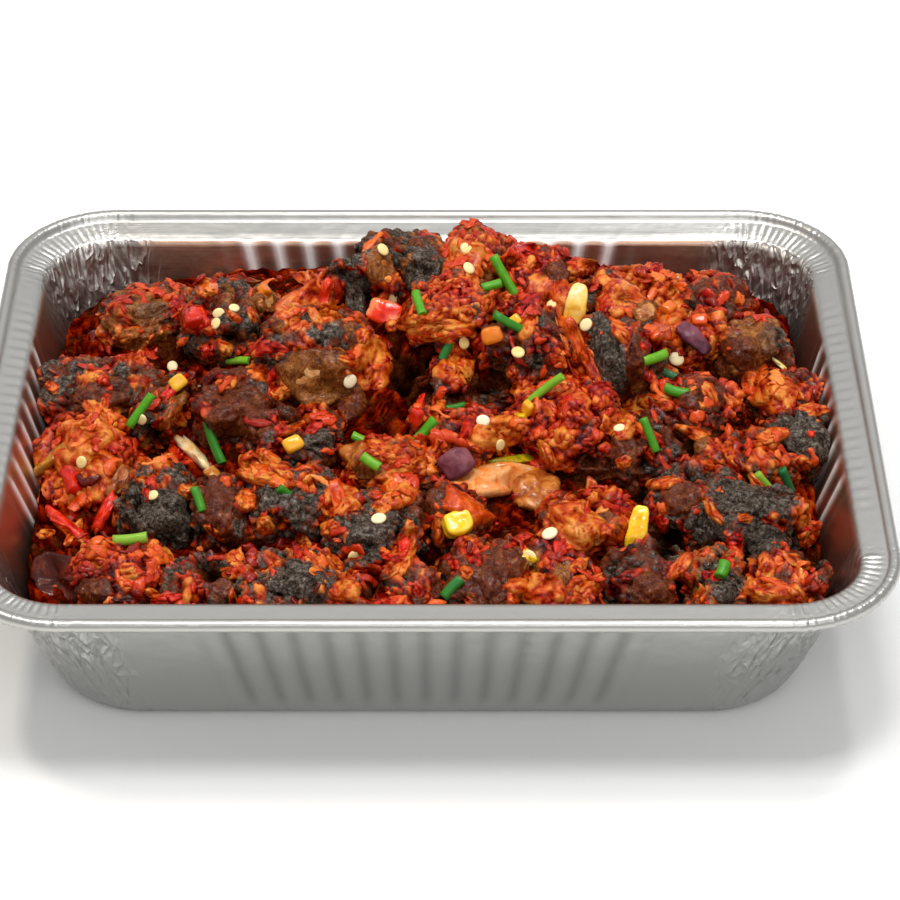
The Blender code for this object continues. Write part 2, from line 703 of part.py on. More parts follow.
def build_food(group, cutters):
    ways = directions(SEARCH_DIRECTIONS)
    bodies = shaped_pieces(ways)
    bed = build_bed(group)
    lay_slices(bodies, sight_trees(bodies, bed), ways)
    trees = sight_trees(bodies, bed)
    fused = small_toppings(bodies, trees, ways)
    for body in itertools.chain(bodies.values(), *fused.values()):
        pocket = pocket_for(body)
        if trees[bed.name].overlap(BVHTree.FromBMesh(pocket)):
            object_from(pocket, "pocket", cutters, "sauce")
    join_by_boolean(bed, "DIFFERENCE", "MANIFOLD", cutters)
    keep_largest(bed)
    for name, finish, *_ in CHUNKS + SLICES:
        thing = object_from(bodies[name], name, group, finish)
        if name in fused:
            fuse(thing, fused[name], finish)
        if finish in SURFACE:
            thing.data.shade_smooth()
            thing.data.set_sharp_from_angle(angle=SHARP_EDGE)


def build():
    clear_scene()
    group = new_collection("foil_tray_meal")
    cutters = new_collection("cutters")
    build_tray(group)
    build_food(group, cutters)


build()
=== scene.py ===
import json
import math
import bpy
import numpy as np
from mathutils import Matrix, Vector
from mathutils.bvhtree import BVHTree


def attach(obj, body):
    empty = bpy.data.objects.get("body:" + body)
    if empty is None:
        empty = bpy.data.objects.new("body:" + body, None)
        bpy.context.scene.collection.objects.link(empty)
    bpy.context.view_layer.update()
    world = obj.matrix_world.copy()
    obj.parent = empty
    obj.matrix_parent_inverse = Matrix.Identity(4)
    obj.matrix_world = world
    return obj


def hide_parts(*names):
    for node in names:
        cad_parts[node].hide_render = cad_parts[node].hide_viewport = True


# A foil tray of charred meat in chunky pepper sauce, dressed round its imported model.
# Lengths in the dictionaries are millimetres; mm turns them to metres.

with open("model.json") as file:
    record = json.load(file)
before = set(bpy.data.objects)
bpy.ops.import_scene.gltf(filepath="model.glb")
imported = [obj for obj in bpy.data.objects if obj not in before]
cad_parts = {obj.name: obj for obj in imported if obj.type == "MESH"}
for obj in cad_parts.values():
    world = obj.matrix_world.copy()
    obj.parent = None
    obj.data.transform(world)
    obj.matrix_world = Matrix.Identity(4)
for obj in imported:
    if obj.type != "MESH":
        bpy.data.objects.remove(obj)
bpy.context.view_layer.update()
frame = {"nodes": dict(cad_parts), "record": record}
nodes = frame["nodes"]
mm = 0.001
print("packed model loaded,", len(nodes), "nodes")

guest = {"eye": (0.0084, -1.0041, 0.7585), "pitch": math.radians(35.524), "lens": 134.72, "sensor": 36.0,
         "frame": 900}


# Where points are seen in the guest's picture, in its pixels: a plain pinhole projection
def seenAt(points):
    sine, cosine = math.sin(guest["pitch"]), math.cos(guest["pitch"])
    off = points - np.array(guest["eye"])
    ahead = off[..., 1] * cosine - off[..., 2] * sine
    rise = off[..., 1] * sine + off[..., 2] * cosine
    zoom = guest["lens"] / guest["sensor"] * guest["frame"]
    middle = guest["frame"] / 2
    return np.stack((middle + zoom * off[..., 0] / ahead, middle - zoom * rise / ahead), -1)


# The unit direction in which the guest sees a place of the picture
def sightTo(x, y):
    sine, cosine = math.sin(guest["pitch"]), math.cos(guest["pitch"])
    zoom = guest["lens"] / guest["sensor"] * guest["frame"]
    across, rise = (x - guest["frame"] / 2) / zoom, (guest["frame"] / 2 - y) / zoom
    return Vector((across, cosine + rise * sine, -sine + rise * cosine)).normalized()


# Noise on whole arrays of points

noiseRng = np.random.default_rng(11)
noiseSlopes = noiseRng.normal(size=(256, 3))
noiseSlopes /= np.linalg.norm(noiseSlopes, axis=1, keepdims=True)
cellSpots = noiseRng.random((256, 3))
cellShades = noiseRng.random(256)


# A number below 256 for each lattice point: its coordinates multiplied by primes and folded together
def scrambled(cell, seed):
    x, y, z = (cell[..., i].astype(np.int64) for i in range(3))
    mixed = (x * 73856093) ^ (y * 19349663) ^ (z * 83492791) ^ (seed * 2654435)
    mixed = ((mixed ^ (mixed >> 13)) & 0x7fffffff) * 12741261
    return (mixed ^ (mixed >> 16)) & 255


# Gradient noise, about -0.6 to 0.6: a slope at each of a lattice cell's corners, eased together
def bumps(points, size, seed=0):
    place = points / size
    cell = np.floor(place)
    part = place - cell
    ease = part * part * part * (part * (part * 6 - 15) + 10)
    total = 0
    for corner in np.ndindex(2, 2, 2):
        corner = np.array(corner)
        slope = noiseSlopes[scrambled(cell + corner, seed)]
        weight = np.where(corner == 1, ease, 1 - ease).prod(-1)
        total = total + weight * ((part - corner) * slope).sum(-1)
    return total


# Scattered cells: distances to the nearest and second nearest seed point in cell widths, and the
# nearest one's own shade from 0 to 1
def cells(points, size, seed=0):
    place = points / size
    cell = np.floor(place)
    near = np.full(place.shape[:-1], 9.0)
    second = near.copy()
    shade = np.zeros_like(near)
    for step in np.ndindex(3, 3, 3):
        at = cell + np.array(step) - 1
        own = scrambled(at, seed)
        away = np.linalg.norm(place - at - cellSpots[own], axis=-1)
        closer = away < near
        second = np.where(closer, near, np.minimum(second, away))
        shade = np.where(closer, cellShades[scrambled(at, seed + 5)], shade)
        near = np.where(closer, away, near)
    return near, second, shade


# Rises smoothly from 0 at low to 1 at high
def eased(values, low, high):
    part = np.clip((values - low) / (high - low), 0, 1)
    return part * part * (3 - 2 * part)


# Puffs with sharp creases between them: the distance of each octave's noise from zero
def puffs(points, size, octaves, seed):
    total, weight = 0, 1.0
    for octave in range(octaves):
        total = total + weight * (2.2 * np.abs(bumps(points, size / 1.9 ** octave, seed + octave)) - 0.35)
        weight *= 0.62
    return total


# Meshes from arrays

def unit(vectors):
    return vectors / np.maximum(np.linalg.norm(vectors, axis=-1, keepdims=True), 1e-9)


# A mesh object from points, four-sided and three-sided faces and named numbers on its points
def meshObject(name, points, quads, triangles=None, marks=None, smooth=True):
    loops = quads.ravel()
    sizes = np.full(len(quads), 4)
    if triangles is not None and len(triangles):
        loops = np.concatenate((loops, triangles.ravel()))
        sizes = np.concatenate((sizes, np.full(len(triangles), 3)))
    mesh = bpy.data.meshes.new(name)
    mesh.vertices.add(len(points))
    mesh.vertices.foreach_set("co", points.astype(np.float32).ravel())
    mesh.loops.add(len(loops))
    mesh.loops.foreach_set("vertex_index", loops.astype(np.int32))
    mesh.polygons.add(len(sizes))
    mesh.polygons.foreach_set("loop_start", (np.cumsum(sizes) - sizes).astype(np.int32))
    mesh.update(calc_edges=True)
    for mark, values in (marks or {}).items():
        layer = mesh.attributes.new(mark, "FLOAT", "POINT")
        layer.data.foreach_set("value", np.asarray(values, np.float32).ravel())
    if smooth:
        mesh.shade_smooth()
    piece = bpy.data.objects.new(name, mesh)
    bpy.context.scene.collection.objects.link(piece)
    return piece


# Faces of a grid that closes round its columns; its first and last rows are drawn to one point each
def ballFaces(rows, columns):
    inner = np.arange((rows - 2) * columns).reshape(rows - 2, columns) + 1
    onward = np.roll(inner, -1, 1)
    quads = np.stack((inner[:-1], onward[:-1], onward[1:], inner[1:]), -1).reshape(-1, 4)
    last = (rows - 2) * columns + 1
    foot = np.stack((np.zeros(columns, int), onward[0], inner[0]), -1)
    crown = np.stack((np.full(columns, last), inner[-1], onward[-1]), -1)
    return quads, np.concatenate((foot, crown))


# The grid's points without the repeats at its two ends
def ballPoints(grid):
    flat = grid.reshape(grid.shape[0], grid.shape[1], -1)
    joined = np.concatenate((flat[:1, 0], flat[1:-1].reshape(-1, flat.shape[2]), flat[-1:, 0]))
    return joined if grid.ndim == 3 else joined[:, 0]


# Unit directions on a grid: latitude by row from one pole to the other, longitude by column. The
# poles lie along X, where a neighbour hides them
def ballWays(rows, columns):
    tilt = np.linspace(-math.pi / 2, math.pi / 2, rows)[:, None]
    turn = np.arange(columns) * 2 * math.pi / columns
    level = np.cos(tilt)
    ways = np.stack((level * np.cos(turn), level * np.sin(turn), np.sin(tilt) + 0 * turn), -1)
    return ways[..., [2, 0, 1]]


# Draws the first and last rows of a grid to one point each
def drawEnds(grid):
    for end in (0, -1):
        grid[end] = grid[end].mean(0)


# Outward unit normals of a ball-like grid, from the differences along its rows and columns
def gridNormals(grid):
    across = np.roll(grid, -1, 1) - np.roll(grid, 1, 1)
    along = np.gradient(grid, axis=0)
    normals = unit(np.cross(across, along))
    middle = grid.mean((0, 1))
    for end in (0, -1):
        normals[end] = unit(grid[end] - middle)
    return normals


# Cooked pieces: what the guest sees where

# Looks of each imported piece: share under pulp, share charred, share of amber skin, the pulp's tone
# from deep red to orange
looks = {
    "meat_01": (0.35, 0.15, 0.90, 0.6), "meat_02": (0.30, 0.55, 0.30, 0.5),
    "pulp_01": (0.75, 0.40, 0.00, 0.6), "meat_03": (0.40, 0.50, 0.10, 0.6),
    "meat_04": (0.35, 0.55, 0.50, 0.7), "meat_05": (0.20, 0.60, 0.50, 0.7),
    "meat_06": (0.60, 0.00, 0.50, 0.6), "pulp_02": (0.85, 0.10, 0.00, 0.5),
    "meat_07": (0.50, 0.30, 0.00, 0.6), "meat_08": (0.25, 0.90, 0.00, 0.6),
    "pulp_03": (0.85, 0.10, 0.20, 0.7), "meat_09": (0.85, 0.00, 0.40, 0.7),
    "meat_10": (0.60, 0.20, 0.00, 0.5), "meat_11": (0.15, 0.30, 0.80, 0.5),
    "pulp_04": (0.70, 0.30, 0.00, 0.5), "meat_12": (0.40, 0.80, 0.00, 0.5),
    "pulp_05": (0.70, 0.20, 0.10, 0.4), "meat_13": (0.30, 0.60, 0.00, 0.5),
    "meat_14": (0.25, 0.95, 0.00, 0.6), "meat_15": (0.35, 0.50, 0.80, 0.7),
    "meat_16": (0.60, 0.30, 0.00, 0.5), "pulp_06": (0.92, 0.10, 0.00, 0.5),
    "meat_17": (0.15, 0.40, 0.00, 0.4), "pulp_07": (0.85, 0.10, 0.30, 0.6),
    "meat_18": (0.15, 0.15, 0.10, 0.5), "meat_19": (0.70, 0.10, 0.10, 0.3),
    "meat_20": (0.20, 0.40, 0.00, 0.4), "meat_21": (0.35, 0.80, 0.00, 0.6),
    "meat_22": (0.50, 0.20, 0.00, 0.4), "meat_23": (0.30, 0.90, 0.00, 0.6),
    "meat_24": (0.25, 0.40, 0.00, 0.5), "meat_25": (0.15, 0.90, 0.00, 0.7),
    "meat_26": (0.45, 0.90, 0.00, 0.7), "meat_27": (0.50, 0.40, 0.00, 0.5),
    "meat_28": (0.20, 0.20, 0.00, 0.4), "pulp_08": (0.80, 0.10, 0.30, 0.7),
    "pulp_09": (0.97, 0.00, 0.10, 0.6), "meat_29": (0.50, 0.30, 0.00, 0.3),
    "meat_30": (0.40, 0.30, 0.30, 0.5), "pulp_10": (0.90, 0.10, 0.00, 0.5),
    "meat_31": (0.60, 0.30, 0.00, 0.4), "meat_32": (0.60, 0.30, 0.00, 0.6),
    "meat_33": (0.60, 0.20, 0.20, 0.6), "meat_34": (0.60, 0.30, 0.30, 0.5),
    "meat_35": (0.65, 0.40, 0.00, 0.5), "meat_36": (0.65, 0.20, 0.00, 0.6),
    "meat_37": (0.40, 0.80, 0.00, 0.6), "meat_38": (0.50, 0.50, 0.00, 0.5),
    "pulp_11": (0.80, 0.10, 0.00, 0.5),
}

# Patches: the guest's picture place and the radius, both in its pixels
patches = {
    "orange": (
        (206, 288, 9), (136, 340, 17), (103, 340, 11), (94, 377, 10), (106, 420, 17), (86, 452, 13),
        (163, 457, 11), (258, 472, 12), (308, 481, 11), (246, 500, 10), (459, 385, 8), (490, 432, 14),
        (545, 437, 11), (399, 483, 14), (339, 497, 12), (528, 578, 9), (576, 535, 14), (588, 504, 13),
        (345, 595, 11), (675, 288, 8), (670, 311, 9), (661, 333, 10), (697, 383, 10), (734, 399, 9),
        (781, 390, 9), (772, 442, 9), (631, 424, 10), (69, 492, 15), (69, 523, 9), (96, 548, 9),
        (155, 557, 8), (289, 309, 12), (331, 292, 13), (341, 368, 7), (373, 352, 12), (412, 326, 9),
        (440, 332, 9), (530, 263, 10), (454, 320, 11), (461, 375, 7), (559, 354, 10), (582, 333, 8),
        (601, 279, 8), (615, 298, 9), (710, 499, 7), (667, 507, 6), (808, 507, 13), (815, 529, 11),
        (710, 586, 7), (744, 592, 7), (796, 572, 9), (391, 278, 7), (461, 246, 13), (280, 566, 8),
        (262, 590, 7), (318, 590, 7), (130, 585, 9), (205, 405, 7), (759, 455, 10)),
    "red": (
        (196, 319, 11), (181, 384, 10), (74, 476, 9), (82, 505, 9), (279, 431, 8), (440, 449, 10),
        (571, 412, 16), (404, 549, 8), (468, 544, 10), (554, 552, 14), (706, 302, 7), (655, 343, 8),
        (702, 335, 7), (105, 512, 8), (164, 600, 8), (336, 285, 9), (519, 252, 8), (527, 298, 14),
        (580, 368, 14), (461, 287, 9), (738, 539, 8), (827, 489, 7), (735, 465, 8), (513, 313, 8),
        (600, 395, 12), (620, 505, 10), (545, 600, 9), (612, 590, 8), (540, 395, 8), (210, 350, 6)),
    "char": (
        (120, 388, 9), (246, 324, 6), (318, 441, 9), (275, 491, 13), (167, 508, 18), (172, 530, 14),
        (370, 521, 13), (372, 545, 15), (424, 270, 12), (359, 290, 10), (321, 335, 11), (279, 344, 6),
        (608, 349, 15), (612, 375, 10), (737, 499, 14), (759, 539, 16), (730, 588, 8), (802, 427, 11),
        (823, 446, 9), (292, 582, 15), (535, 363, 7), (352, 256, 8), (224, 595, 9), (155, 309, 6),
        (700, 520, 9), (590, 330, 6)),
    "skin": (
        (150, 310, 13), (263, 293, 10), (120, 479, 9), (298, 441, 8), (380, 266, 10), (307, 375, 18),
        (356, 400, 13), (364, 470, 10), (645, 311, 12), (752, 342, 15), (640, 390, 12), (697, 445, 11),
        (707, 542, 8), (228, 290, 8), (180, 396, 9), (533, 560, 9), (91, 597, 7), (560, 575, 9)),
    "brown": (
        (170, 346, 10), (81, 398, 13), (241, 414, 25), (423, 511, 13), (494, 580, 21), (556, 270, 9),
        (486, 284, 8), (636, 361, 10), (686, 501, 13), (654, 590, 14), (217, 514, 13), (624, 450, 12),
        (585, 476, 12), (734, 372, 11), (222, 590, 12), (330, 400, 9), (520, 340, 8)),
    # shaded pits: the food is pressed in there and painted near black, a painted shade of the deep gaps
    # between chunks
    "shadedPit": (
        (156, 439, 13), (236, 340, 9), (292, 416, 9), (412, 362, 15), (418, 392, 9), (487, 388, 16),
        (455, 398, 10), (378, 587, 13), (212, 564, 14), (668, 545, 14), (691, 304, 6), (644, 465, 9),
        (403, 377, 14), (396, 352, 9), (426, 352, 9), (430, 560, 8), (590, 460, 8), (690, 470, 7),
        (460, 520, 6), (135, 505, 8), (690, 590, 9), (815, 560, 12), (250, 445, 6)),
}


# How strongly each kind of patch holds at each point, 0 to 1: a soft disc round each patch's place in
# the guest's picture, its rim bent by noise
def patchWeights(points):
    place = seenAt(points)
    bend = np.stack((bumps(points, 7 * mm, 31), bumps(points, 7 * mm, 32)), -1)
    fray = np.stack((bumps(points, 3 * mm, 33), bumps(points, 3 * mm, 34)), -1)
    place = place + 9 * bend + 5 * fray
    weights = {}
    for kind, rows in patches.items():
        rows = np.array(rows, float)
        away = np.linalg.norm(place[..., None, :] - rows[:, :2], axis=-1) / rows[:, 2]
        weights[kind] = np.exp(-(away.min(-1) ** 4))
    return weights


# Heights of the parts of the relief
relief = {"lumps": 6.0, "pulp": 0.7, "pulpLumps": 1.5, "puffs": 0.9, "grain": 1.1, "char": 0.8, "speck": 0.2,
          "pit": 4.5}


# Relief and marks of a cooked surface. Pulp lies where a field of noise plus the patches passes the
# share asked for, and stands proud in stretched cell-shaped lumps; char is cracked and grainy, meat
# is ridged along its grain
def cookedRelief(points, look, seed):
    cover, charred, amber, tone = look
    patch = patchWeights(points)
    pulpish = np.maximum(patch["orange"], patch["red"])
    bare = np.maximum.reduce((patch["char"], patch["skin"], patch["brown"], patch["shadedPit"]))
    lumps = puffs(points, 15 * mm, 3, seed + 20)
    broad = 0.6 * bumps(points, 11 * mm, seed) + 0.6 * bumps(points, 5 * mm, seed + 1)
    field = broad + 0.55 * bumps(points, 2.4 * mm, seed + 2) - 0.12 * lumps
    level = np.quantile(field, 1 - cover)
    pulp = eased(field - level + 0.7 * pulpish - 0.75 * bare, -0.10, 0.14)

    # pulp: cells on a strongly bent and stretched grid look like strands and minced lumps
    rng = np.random.default_rng(seed)
    axes, _ = np.linalg.qr(rng.normal(size=(3, 3)))
    swirl = np.stack([bumps(points, 11 * mm, seed + k) for k in (3, 4, 5)], -1)
    wave = np.stack([bumps(points, 4 * mm, seed + k) for k in (6, 7, 8)], -1)
    bent = points + (5.0 * swirl + 1.3 * wave) * mm
    stretched = (bent @ axes) * np.array((0.36, 1.0, 0.8))
    near, second, shade = cells(stretched, 2.9 * mm, seed)
    lump = np.clip(1.15 - near * 1.1, 0, 1) * eased(second - near, -0.02, 0.2)
    puff = puffs(bent, 2.6 * mm, 2, seed + 9)

    # char: plates with cracks between them; meat: ridges along the grain
    plateNear, plateSecond, _ = cells(bent, 4.6 * mm, seed + 12)
    crack = eased(plateSecond - plateNear, 0.0, 0.25)
    grain = 1 - 2 * np.abs(bumps((bent @ axes) * np.array((0.2, 1.0, 0.8)), 2.2 * mm, seed + 13))
    speck = bumps(points, 1.5 * mm, seed + 14)

    charField = 0.7 * bumps(points, 10 * mm, seed + 15) + 0.7 * bumps(points, 3.5 * mm, seed + 16)
    char = eased(charField - np.quantile(charField, 1 - charred) + 0.9 * patch["char"]
                 - 0.9 * np.maximum(patch["brown"], patch["skin"]), -0.12, 0.14)
    skinField = bumps(points, 10 * mm, seed + 17) + 0.5 * bumps(points, 3 * mm, seed + 18)
    skin = eased(skinField - np.quantile(skinField, 1 - min(0.98, amber * 0.7))
                 + 0.9 * patch["skin"] - 0.7 * patch["char"], -0.08, 0.12)
    skin = skin * (1 - 0.8 * char)

    height = relief["lumps"] * (lumps - 0.2) * 0.5
    bareHeight = (1 - char) * (1 - 0.6 * skin) * relief["grain"] * (grain - 0.7)
    bareHeight += char * relief["char"] * (crack - 1 + 0.7 * puff)
    bareHeight += relief["speck"] * speck * (1 + 1.6 * char)
    pulpHeight = relief["pulp"] + relief["pulpLumps"] * (lump - 0.4) + relief["puffs"] * (puff - 0.2)
    height += bareHeight * (1 - pulp) + pulpHeight * pulp - relief["pit"] * patch["shadedPit"]

    toneField = tone - 0.12 + 0.35 * (shade - 0.5) + 0.55 * (lump - 0.5) + 0.22 * puff
    toneField += 0.22 * patch["orange"] - 0.2 * patch["red"] * (1 - patch["orange"]) + 0.1 * lumps
    # painted shade: dips between pulp lumps, cracks in the char, dips between the meat's ridges, low places
    # between the big lumps and the shaded pits are darkened in colour by this mark
    hollow = 0.45 * (1 - lump) * pulp + (1 - pulp) * (0.5 * (1 - crack) * char
                                                     + 0.4 * np.clip(0.6 - grain, 0, 1) * (1 - char))
    hollow = hollow + 1.1 * np.clip(-0.03 - lumps, 0, 1)
    hollow = np.maximum(np.clip(hollow, 0, 1), 0.98 * patch["shadedPit"])
    marks = {"pulp": pulp, "tone": np.clip(toneField, 0, 1), "char": char, "skin": skin, "hollow": hollow,
             "red": patch["red"]}
    return height * mm, marks


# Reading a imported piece's shape as a distance from its middle

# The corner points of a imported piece's triangles
def nodeTriangles(name):
    mesh = nodes[name].data
    mesh.calc_loop_triangles()
    corners = np.empty(len(mesh.loop_triangles) * 3, np.int32)
    mesh.loop_triangles.foreach_get("vertices", corners)
    points = np.empty(len(mesh.vertices) * 3, np.float32)
    mesh.vertices.foreach_get("co", points)
    return points.reshape(-1, 3).astype(float)[corners].reshape(-1, 3, 3)


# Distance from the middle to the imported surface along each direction: every ray is crossed with every
# triangle at once, and the farthest crossing counts
def reachAlong(triangles, middle, ways):
    start = middle - triangles[:, 0]
    first = triangles[:, 1] - triangles[:, 0]
    other = triangles[:, 2] - triangles[:, 0]
    turned = np.cross(start, first)
    lift = (other * turned).sum(-1)
    reach = np.zeros(len(ways))
    slack = 1e-4
    for block in np.array_split(np.arange(len(ways)), 1 + len(ways) * len(triangles) // 300000):
        rays = ways[block][:, None]
        side = np.cross(rays, other)
        scale = (side * first).sum(-1)
        scale = np.where(np.abs(scale) < 1e-12, 1e-12, scale)
        u = (side * start).sum(-1) / scale
        v = (rays * turned).sum(-1) / scale
        far = lift / scale
        hit = (u > -slack) & (v > -slack) & (u + v < 1 + slack) & (far > 0)
        reach[block] = np.where(hit, far, 0).max(-1)
    return reach


# Neighbour averages on a grid that closes round its columns, or along a path of points
def softened(values, times):
    for _ in range(times):
        padded = np.pad(values, ((1, 1), (0, 0)), "edge")
        if values.shape[1] == 3:
            values = (2 * values + padded[:-2] + padded[2:]) / 4
            continue
        values = (2 * values + padded[:-2] + padded[2:] + np.roll(values, 1, 1) + np.roll(values, -1, 1)) / 6
    return values


# Takes off bumps narrower than a few grid steps: least neighbour, then greatest neighbour
def opened(values, times):
    for pick in (np.minimum, np.maximum):
        for _ in range(times):
            padded = np.pad(values, ((1, 1), (0, 0)), "edge")
            beside = pick(np.roll(values, 1, 1), np.roll(values, -1, 1))
            values = pick(pick(padded[:-2], padded[2:]), pick(values, beside))
    return values


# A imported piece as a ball-like grid: the farthest surface along each direction, trimmed and softened
def bodyGrid(name, detail):
    triangles = nodeTriangles(name)
    low, high = triangles.reshape(-1, 3).min(0), triangles.reshape(-1, 3).max(0)
    middle = (low + high) / 2
    ways = unit(ballWays(detail["rows"], detail["columns"]) * (high - low))
    reach = reachAlong(triangles, middle, ways.reshape(-1, 3)).reshape(ways.shape[:2])
    reach = softened(opened(reach, detail["trims"]), detail["soft"])
    return middle + ways * reach[..., None]


# The tray's inner wall: half sizes at the foot, corner radius, slope, and the gap kept from it
inside = {"half": (131.4, 101.4), "corner": 33.5, "slope": 0.2789, "gap": 1.2}


# Moves points that are past the tray's inner wall back along the wall's outward direction. The wall is
# a rounded rectangle that grows with height
def keptInTray(points):
    half = np.array(inside["half"]) * mm + points[..., 2:] * inside["slope"]
    corner = inside["corner"] * mm
    past = np.abs(points[..., :2]) - (half - corner)
    out = np.maximum(past, 0)
    reach = np.linalg.norm(out, axis=-1)
    excess = np.maximum(reach - corner + inside["gap"] * mm, 0) * (reach > 0)
    way = out / np.maximum(reach, 1e-9)[..., None] * np.sign(points[..., :2])
    kept = points.copy()
    kept[..., :2] -= way * excess[..., None]
    return kept


# Gives a finished piece its material, its body and the imported pieces it replaces; its slot is not used
def finishPiece(piece, material, *replaced, slot=None):
    piece.data.materials.append(material)
    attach(piece, "root")
    if replaced:
        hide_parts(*replaced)


# Materials

# A written colour as linear red, green, blue and alpha
def linear(hexColour):
    parts = [int(hexColour[i:i + 2], 16) / 255 for i in (1, 3, 5)]
    return tuple(c / 12.92 if c <= 0.04045 else ((c + 0.055) / 1.055) ** 2.4 for c in parts) + (1.0,)


# Adds a node with its settings, and sets or links its inputs by name or number
def add(tree, kind, inputs=None, stops=None, **settings):
    node = tree.nodes.new("ShaderNode" + kind)
    for key, value in settings.items():
        setattr(node, key, value)
    for socket, value in (inputs or {}).items():
        if isinstance(value, bpy.types.NodeSocket):
            tree.links.new(value, node.inputs[socket])
        else:
            node.inputs[socket].default_value = value
    if stops:
        ramp = node.color_ramp.elements
        while len(ramp) < len(stops):
            ramp.new(1.0)
        for stop, (position, colour) in zip(ramp, stops):
            stop.position = position
            stop.color = linear(colour)
    return node


# A new material with its node tree and its shader
def newMaterial(name):
    material = bpy.data.materials.new(name)
    material.use_nodes = True
    tree = material.node_tree
    return material, tree, tree.nodes["Principled BSDF"]


def mark(tree, name):
    return add(tree, "Attribute", attribute_name=name).outputs["Fac"]


def blend(tree, share, first, second, kind="MIX"):
    return add(tree, "Mix", {0: share, 6: first, 7: second}, data_type="RGBA", blend_type=kind).outputs[2]


def maths(tree, operation, first, second, third=0.0):
    return add(tree, "Math", {0: first, 1: second, 2: third}, operation=operation).outputs[0]


# Noise on the piece's own coordinates; its size is the width of one grain in millimetres
def grainOf(tree, size, detail=3.0, rough=0.6, swirl=0.0):
    spot = add(tree, "TexCoord").outputs["Object"]
    return add(tree, "TexNoise", {"Vector": spot, "Scale": 1 / (size * mm), "Detail": detail,
                                  "Roughness": rough, "Distortion": swirl}).outputs["Fac"]


cooked = {
    "meat": ((0.28, "#1e0402"), (0.45, "#521a08"), (0.6, "#84401c"), (0.78, "#c07c4c")),
    "skin": ((0.3, "#361404"), (0.44, "#763a10"), (0.58, "#ac6a2c"), (0.75, "#e2b482")),
    "char": ((0.34, "#140a05"), (0.45, "#382a20"), (0.55, "#665a4e"), (0.7, "#a89e90")),
    "pulp": ((0.0, "#340400"), (0.2, "#7e0e02"), (0.42, "#cc3004"), (0.66, "#f06010"), (1.0, "#ffa040")),
    "red": ((0.0, "#460200"), (0.25, "#a20802"), (0.55, "#e81c04"), (1.0, "#ff6a3c")),
    "coat": 0.45, "pulpCoat": 0.9, "coatRough": 0.1, "rough": 0.5, "gloss": 0.05, "swirl": 1.4,
}


# Braised meat under minced pepper: oily, so a thin coat gives sharp small highlights over a rougher
# body; the grain sizes are those of meat fibre and minced pepper
def cookedMaterial(name):
    material, tree, shader = newMaterial(name)
    fine, middle = grainOf(tree, 2.4, 4.0, 0.7, cooked["swirl"]), grainOf(tree, 6.0)
    both = maths(tree, "MULTIPLY_ADD", fine, 0.75, maths(tree, "MULTIPLY", middle, 0.25))
    colours = {}
    grit = grainOf(tree, 1.5, 5.0, 0.8)
    # the colour follows the noise that also raises the bumps, lighter on their crests and darker in their
    # dips: random tone that is partly painted light on the bumps
    for part, field in (("meat", both), ("skin", both), ("char", grit)):
        colours[part] = add(tree, "ValToRGB", {0: field}, cooked[part]).outputs[0]
    tone = maths(tree, "ADD", mark(tree, "tone"), maths(tree, "MULTIPLY_ADD", fine, 0.9, -0.45))
    orange, red = (add(tree, "ValToRGB", {0: tone}, cooked[part]).outputs[0] for part in ("pulp", "red"))
    colours["pulp"] = blend(tree, mark(tree, "red"), orange, red)
    colour = blend(tree, mark(tree, "skin"), colours["meat"], colours["skin"])
    colour = blend(tree, mark(tree, "char"), colour, colours["char"])
    colour = blend(tree, mark(tree, "pulp"), colour, colours["pulp"])
    # painted shade: the colour is darkened towards near black #120200 where the painted shade mark is high
    shade = blend(tree, mark(tree, "hollow"), (1, 1, 1, 1), linear("#120200"))
    colour = blend(tree, 1.0, colour, shade, "MULTIPLY")
    tree.links.new(colour, shader.inputs["Base Color"])
    hollow = mark(tree, "hollow")
    rough = maths(tree, "MULTIPLY_ADD", fine, 0.35, cooked["rough"] - 0.2)
    rough = maths(tree, "MULTIPLY_ADD", hollow, 0.4, rough)
    tree.links.new(rough, shader.inputs["Roughness"])
    # the painted shade also dulls the sheens: both fade in crevices and gaps, where the painted shade mark is
    # high
    bright = maths(tree, "MAXIMUM", maths(tree, "MULTIPLY_ADD", hollow, -1.7, 1.0), 0.0)
    wet = maths(tree, "MULTIPLY_ADD", mark(tree, "pulp"), cooked["pulpCoat"] - cooked["coat"], cooked["coat"])
    tree.links.new(maths(tree, "MULTIPLY", bright, cooked["gloss"]), shader.inputs["Specular IOR Level"])
    tree.links.new(maths(tree, "MULTIPLY", bright, wet), shader.inputs["Coat Weight"])
    shader.inputs["Coat Roughness"].default_value = cooked["coatRough"]
    height = maths(tree, "MULTIPLY_ADD", grit, 0.45, maths(tree, "MULTIPLY", both, 0.9))
    bump = add(tree, "Bump", {"Height": height, "Strength": 1.0, "Distance": 1.2 * mm}).outputs[0]
    film = add(tree, "Bump", {"Height": both, "Strength": 1.0, "Distance": 0.35 * mm}).outputs[0]
    tree.links.new(bump, shader.inputs["Normal"])
    tree.links.new(film, shader.inputs["Coat Normal"])
    return material


# Chunks of meat and clumps of pulp

meatMaterial = cookedMaterial("braisedMeatWithPepper")
chunkNames = [name for name in sorted(nodes) if name.startswith(("meat_", "pulp_"))]
chunkDetail = {"rows": 74, "columns": 140, "trims": 3, "soft": 4}

solids = []     # points, quads, triangles and name of everything that toppings may lie on
recordNodes = {entry["node"]: entry["material_slot"] for entry in frame["record"]["subparts"]}


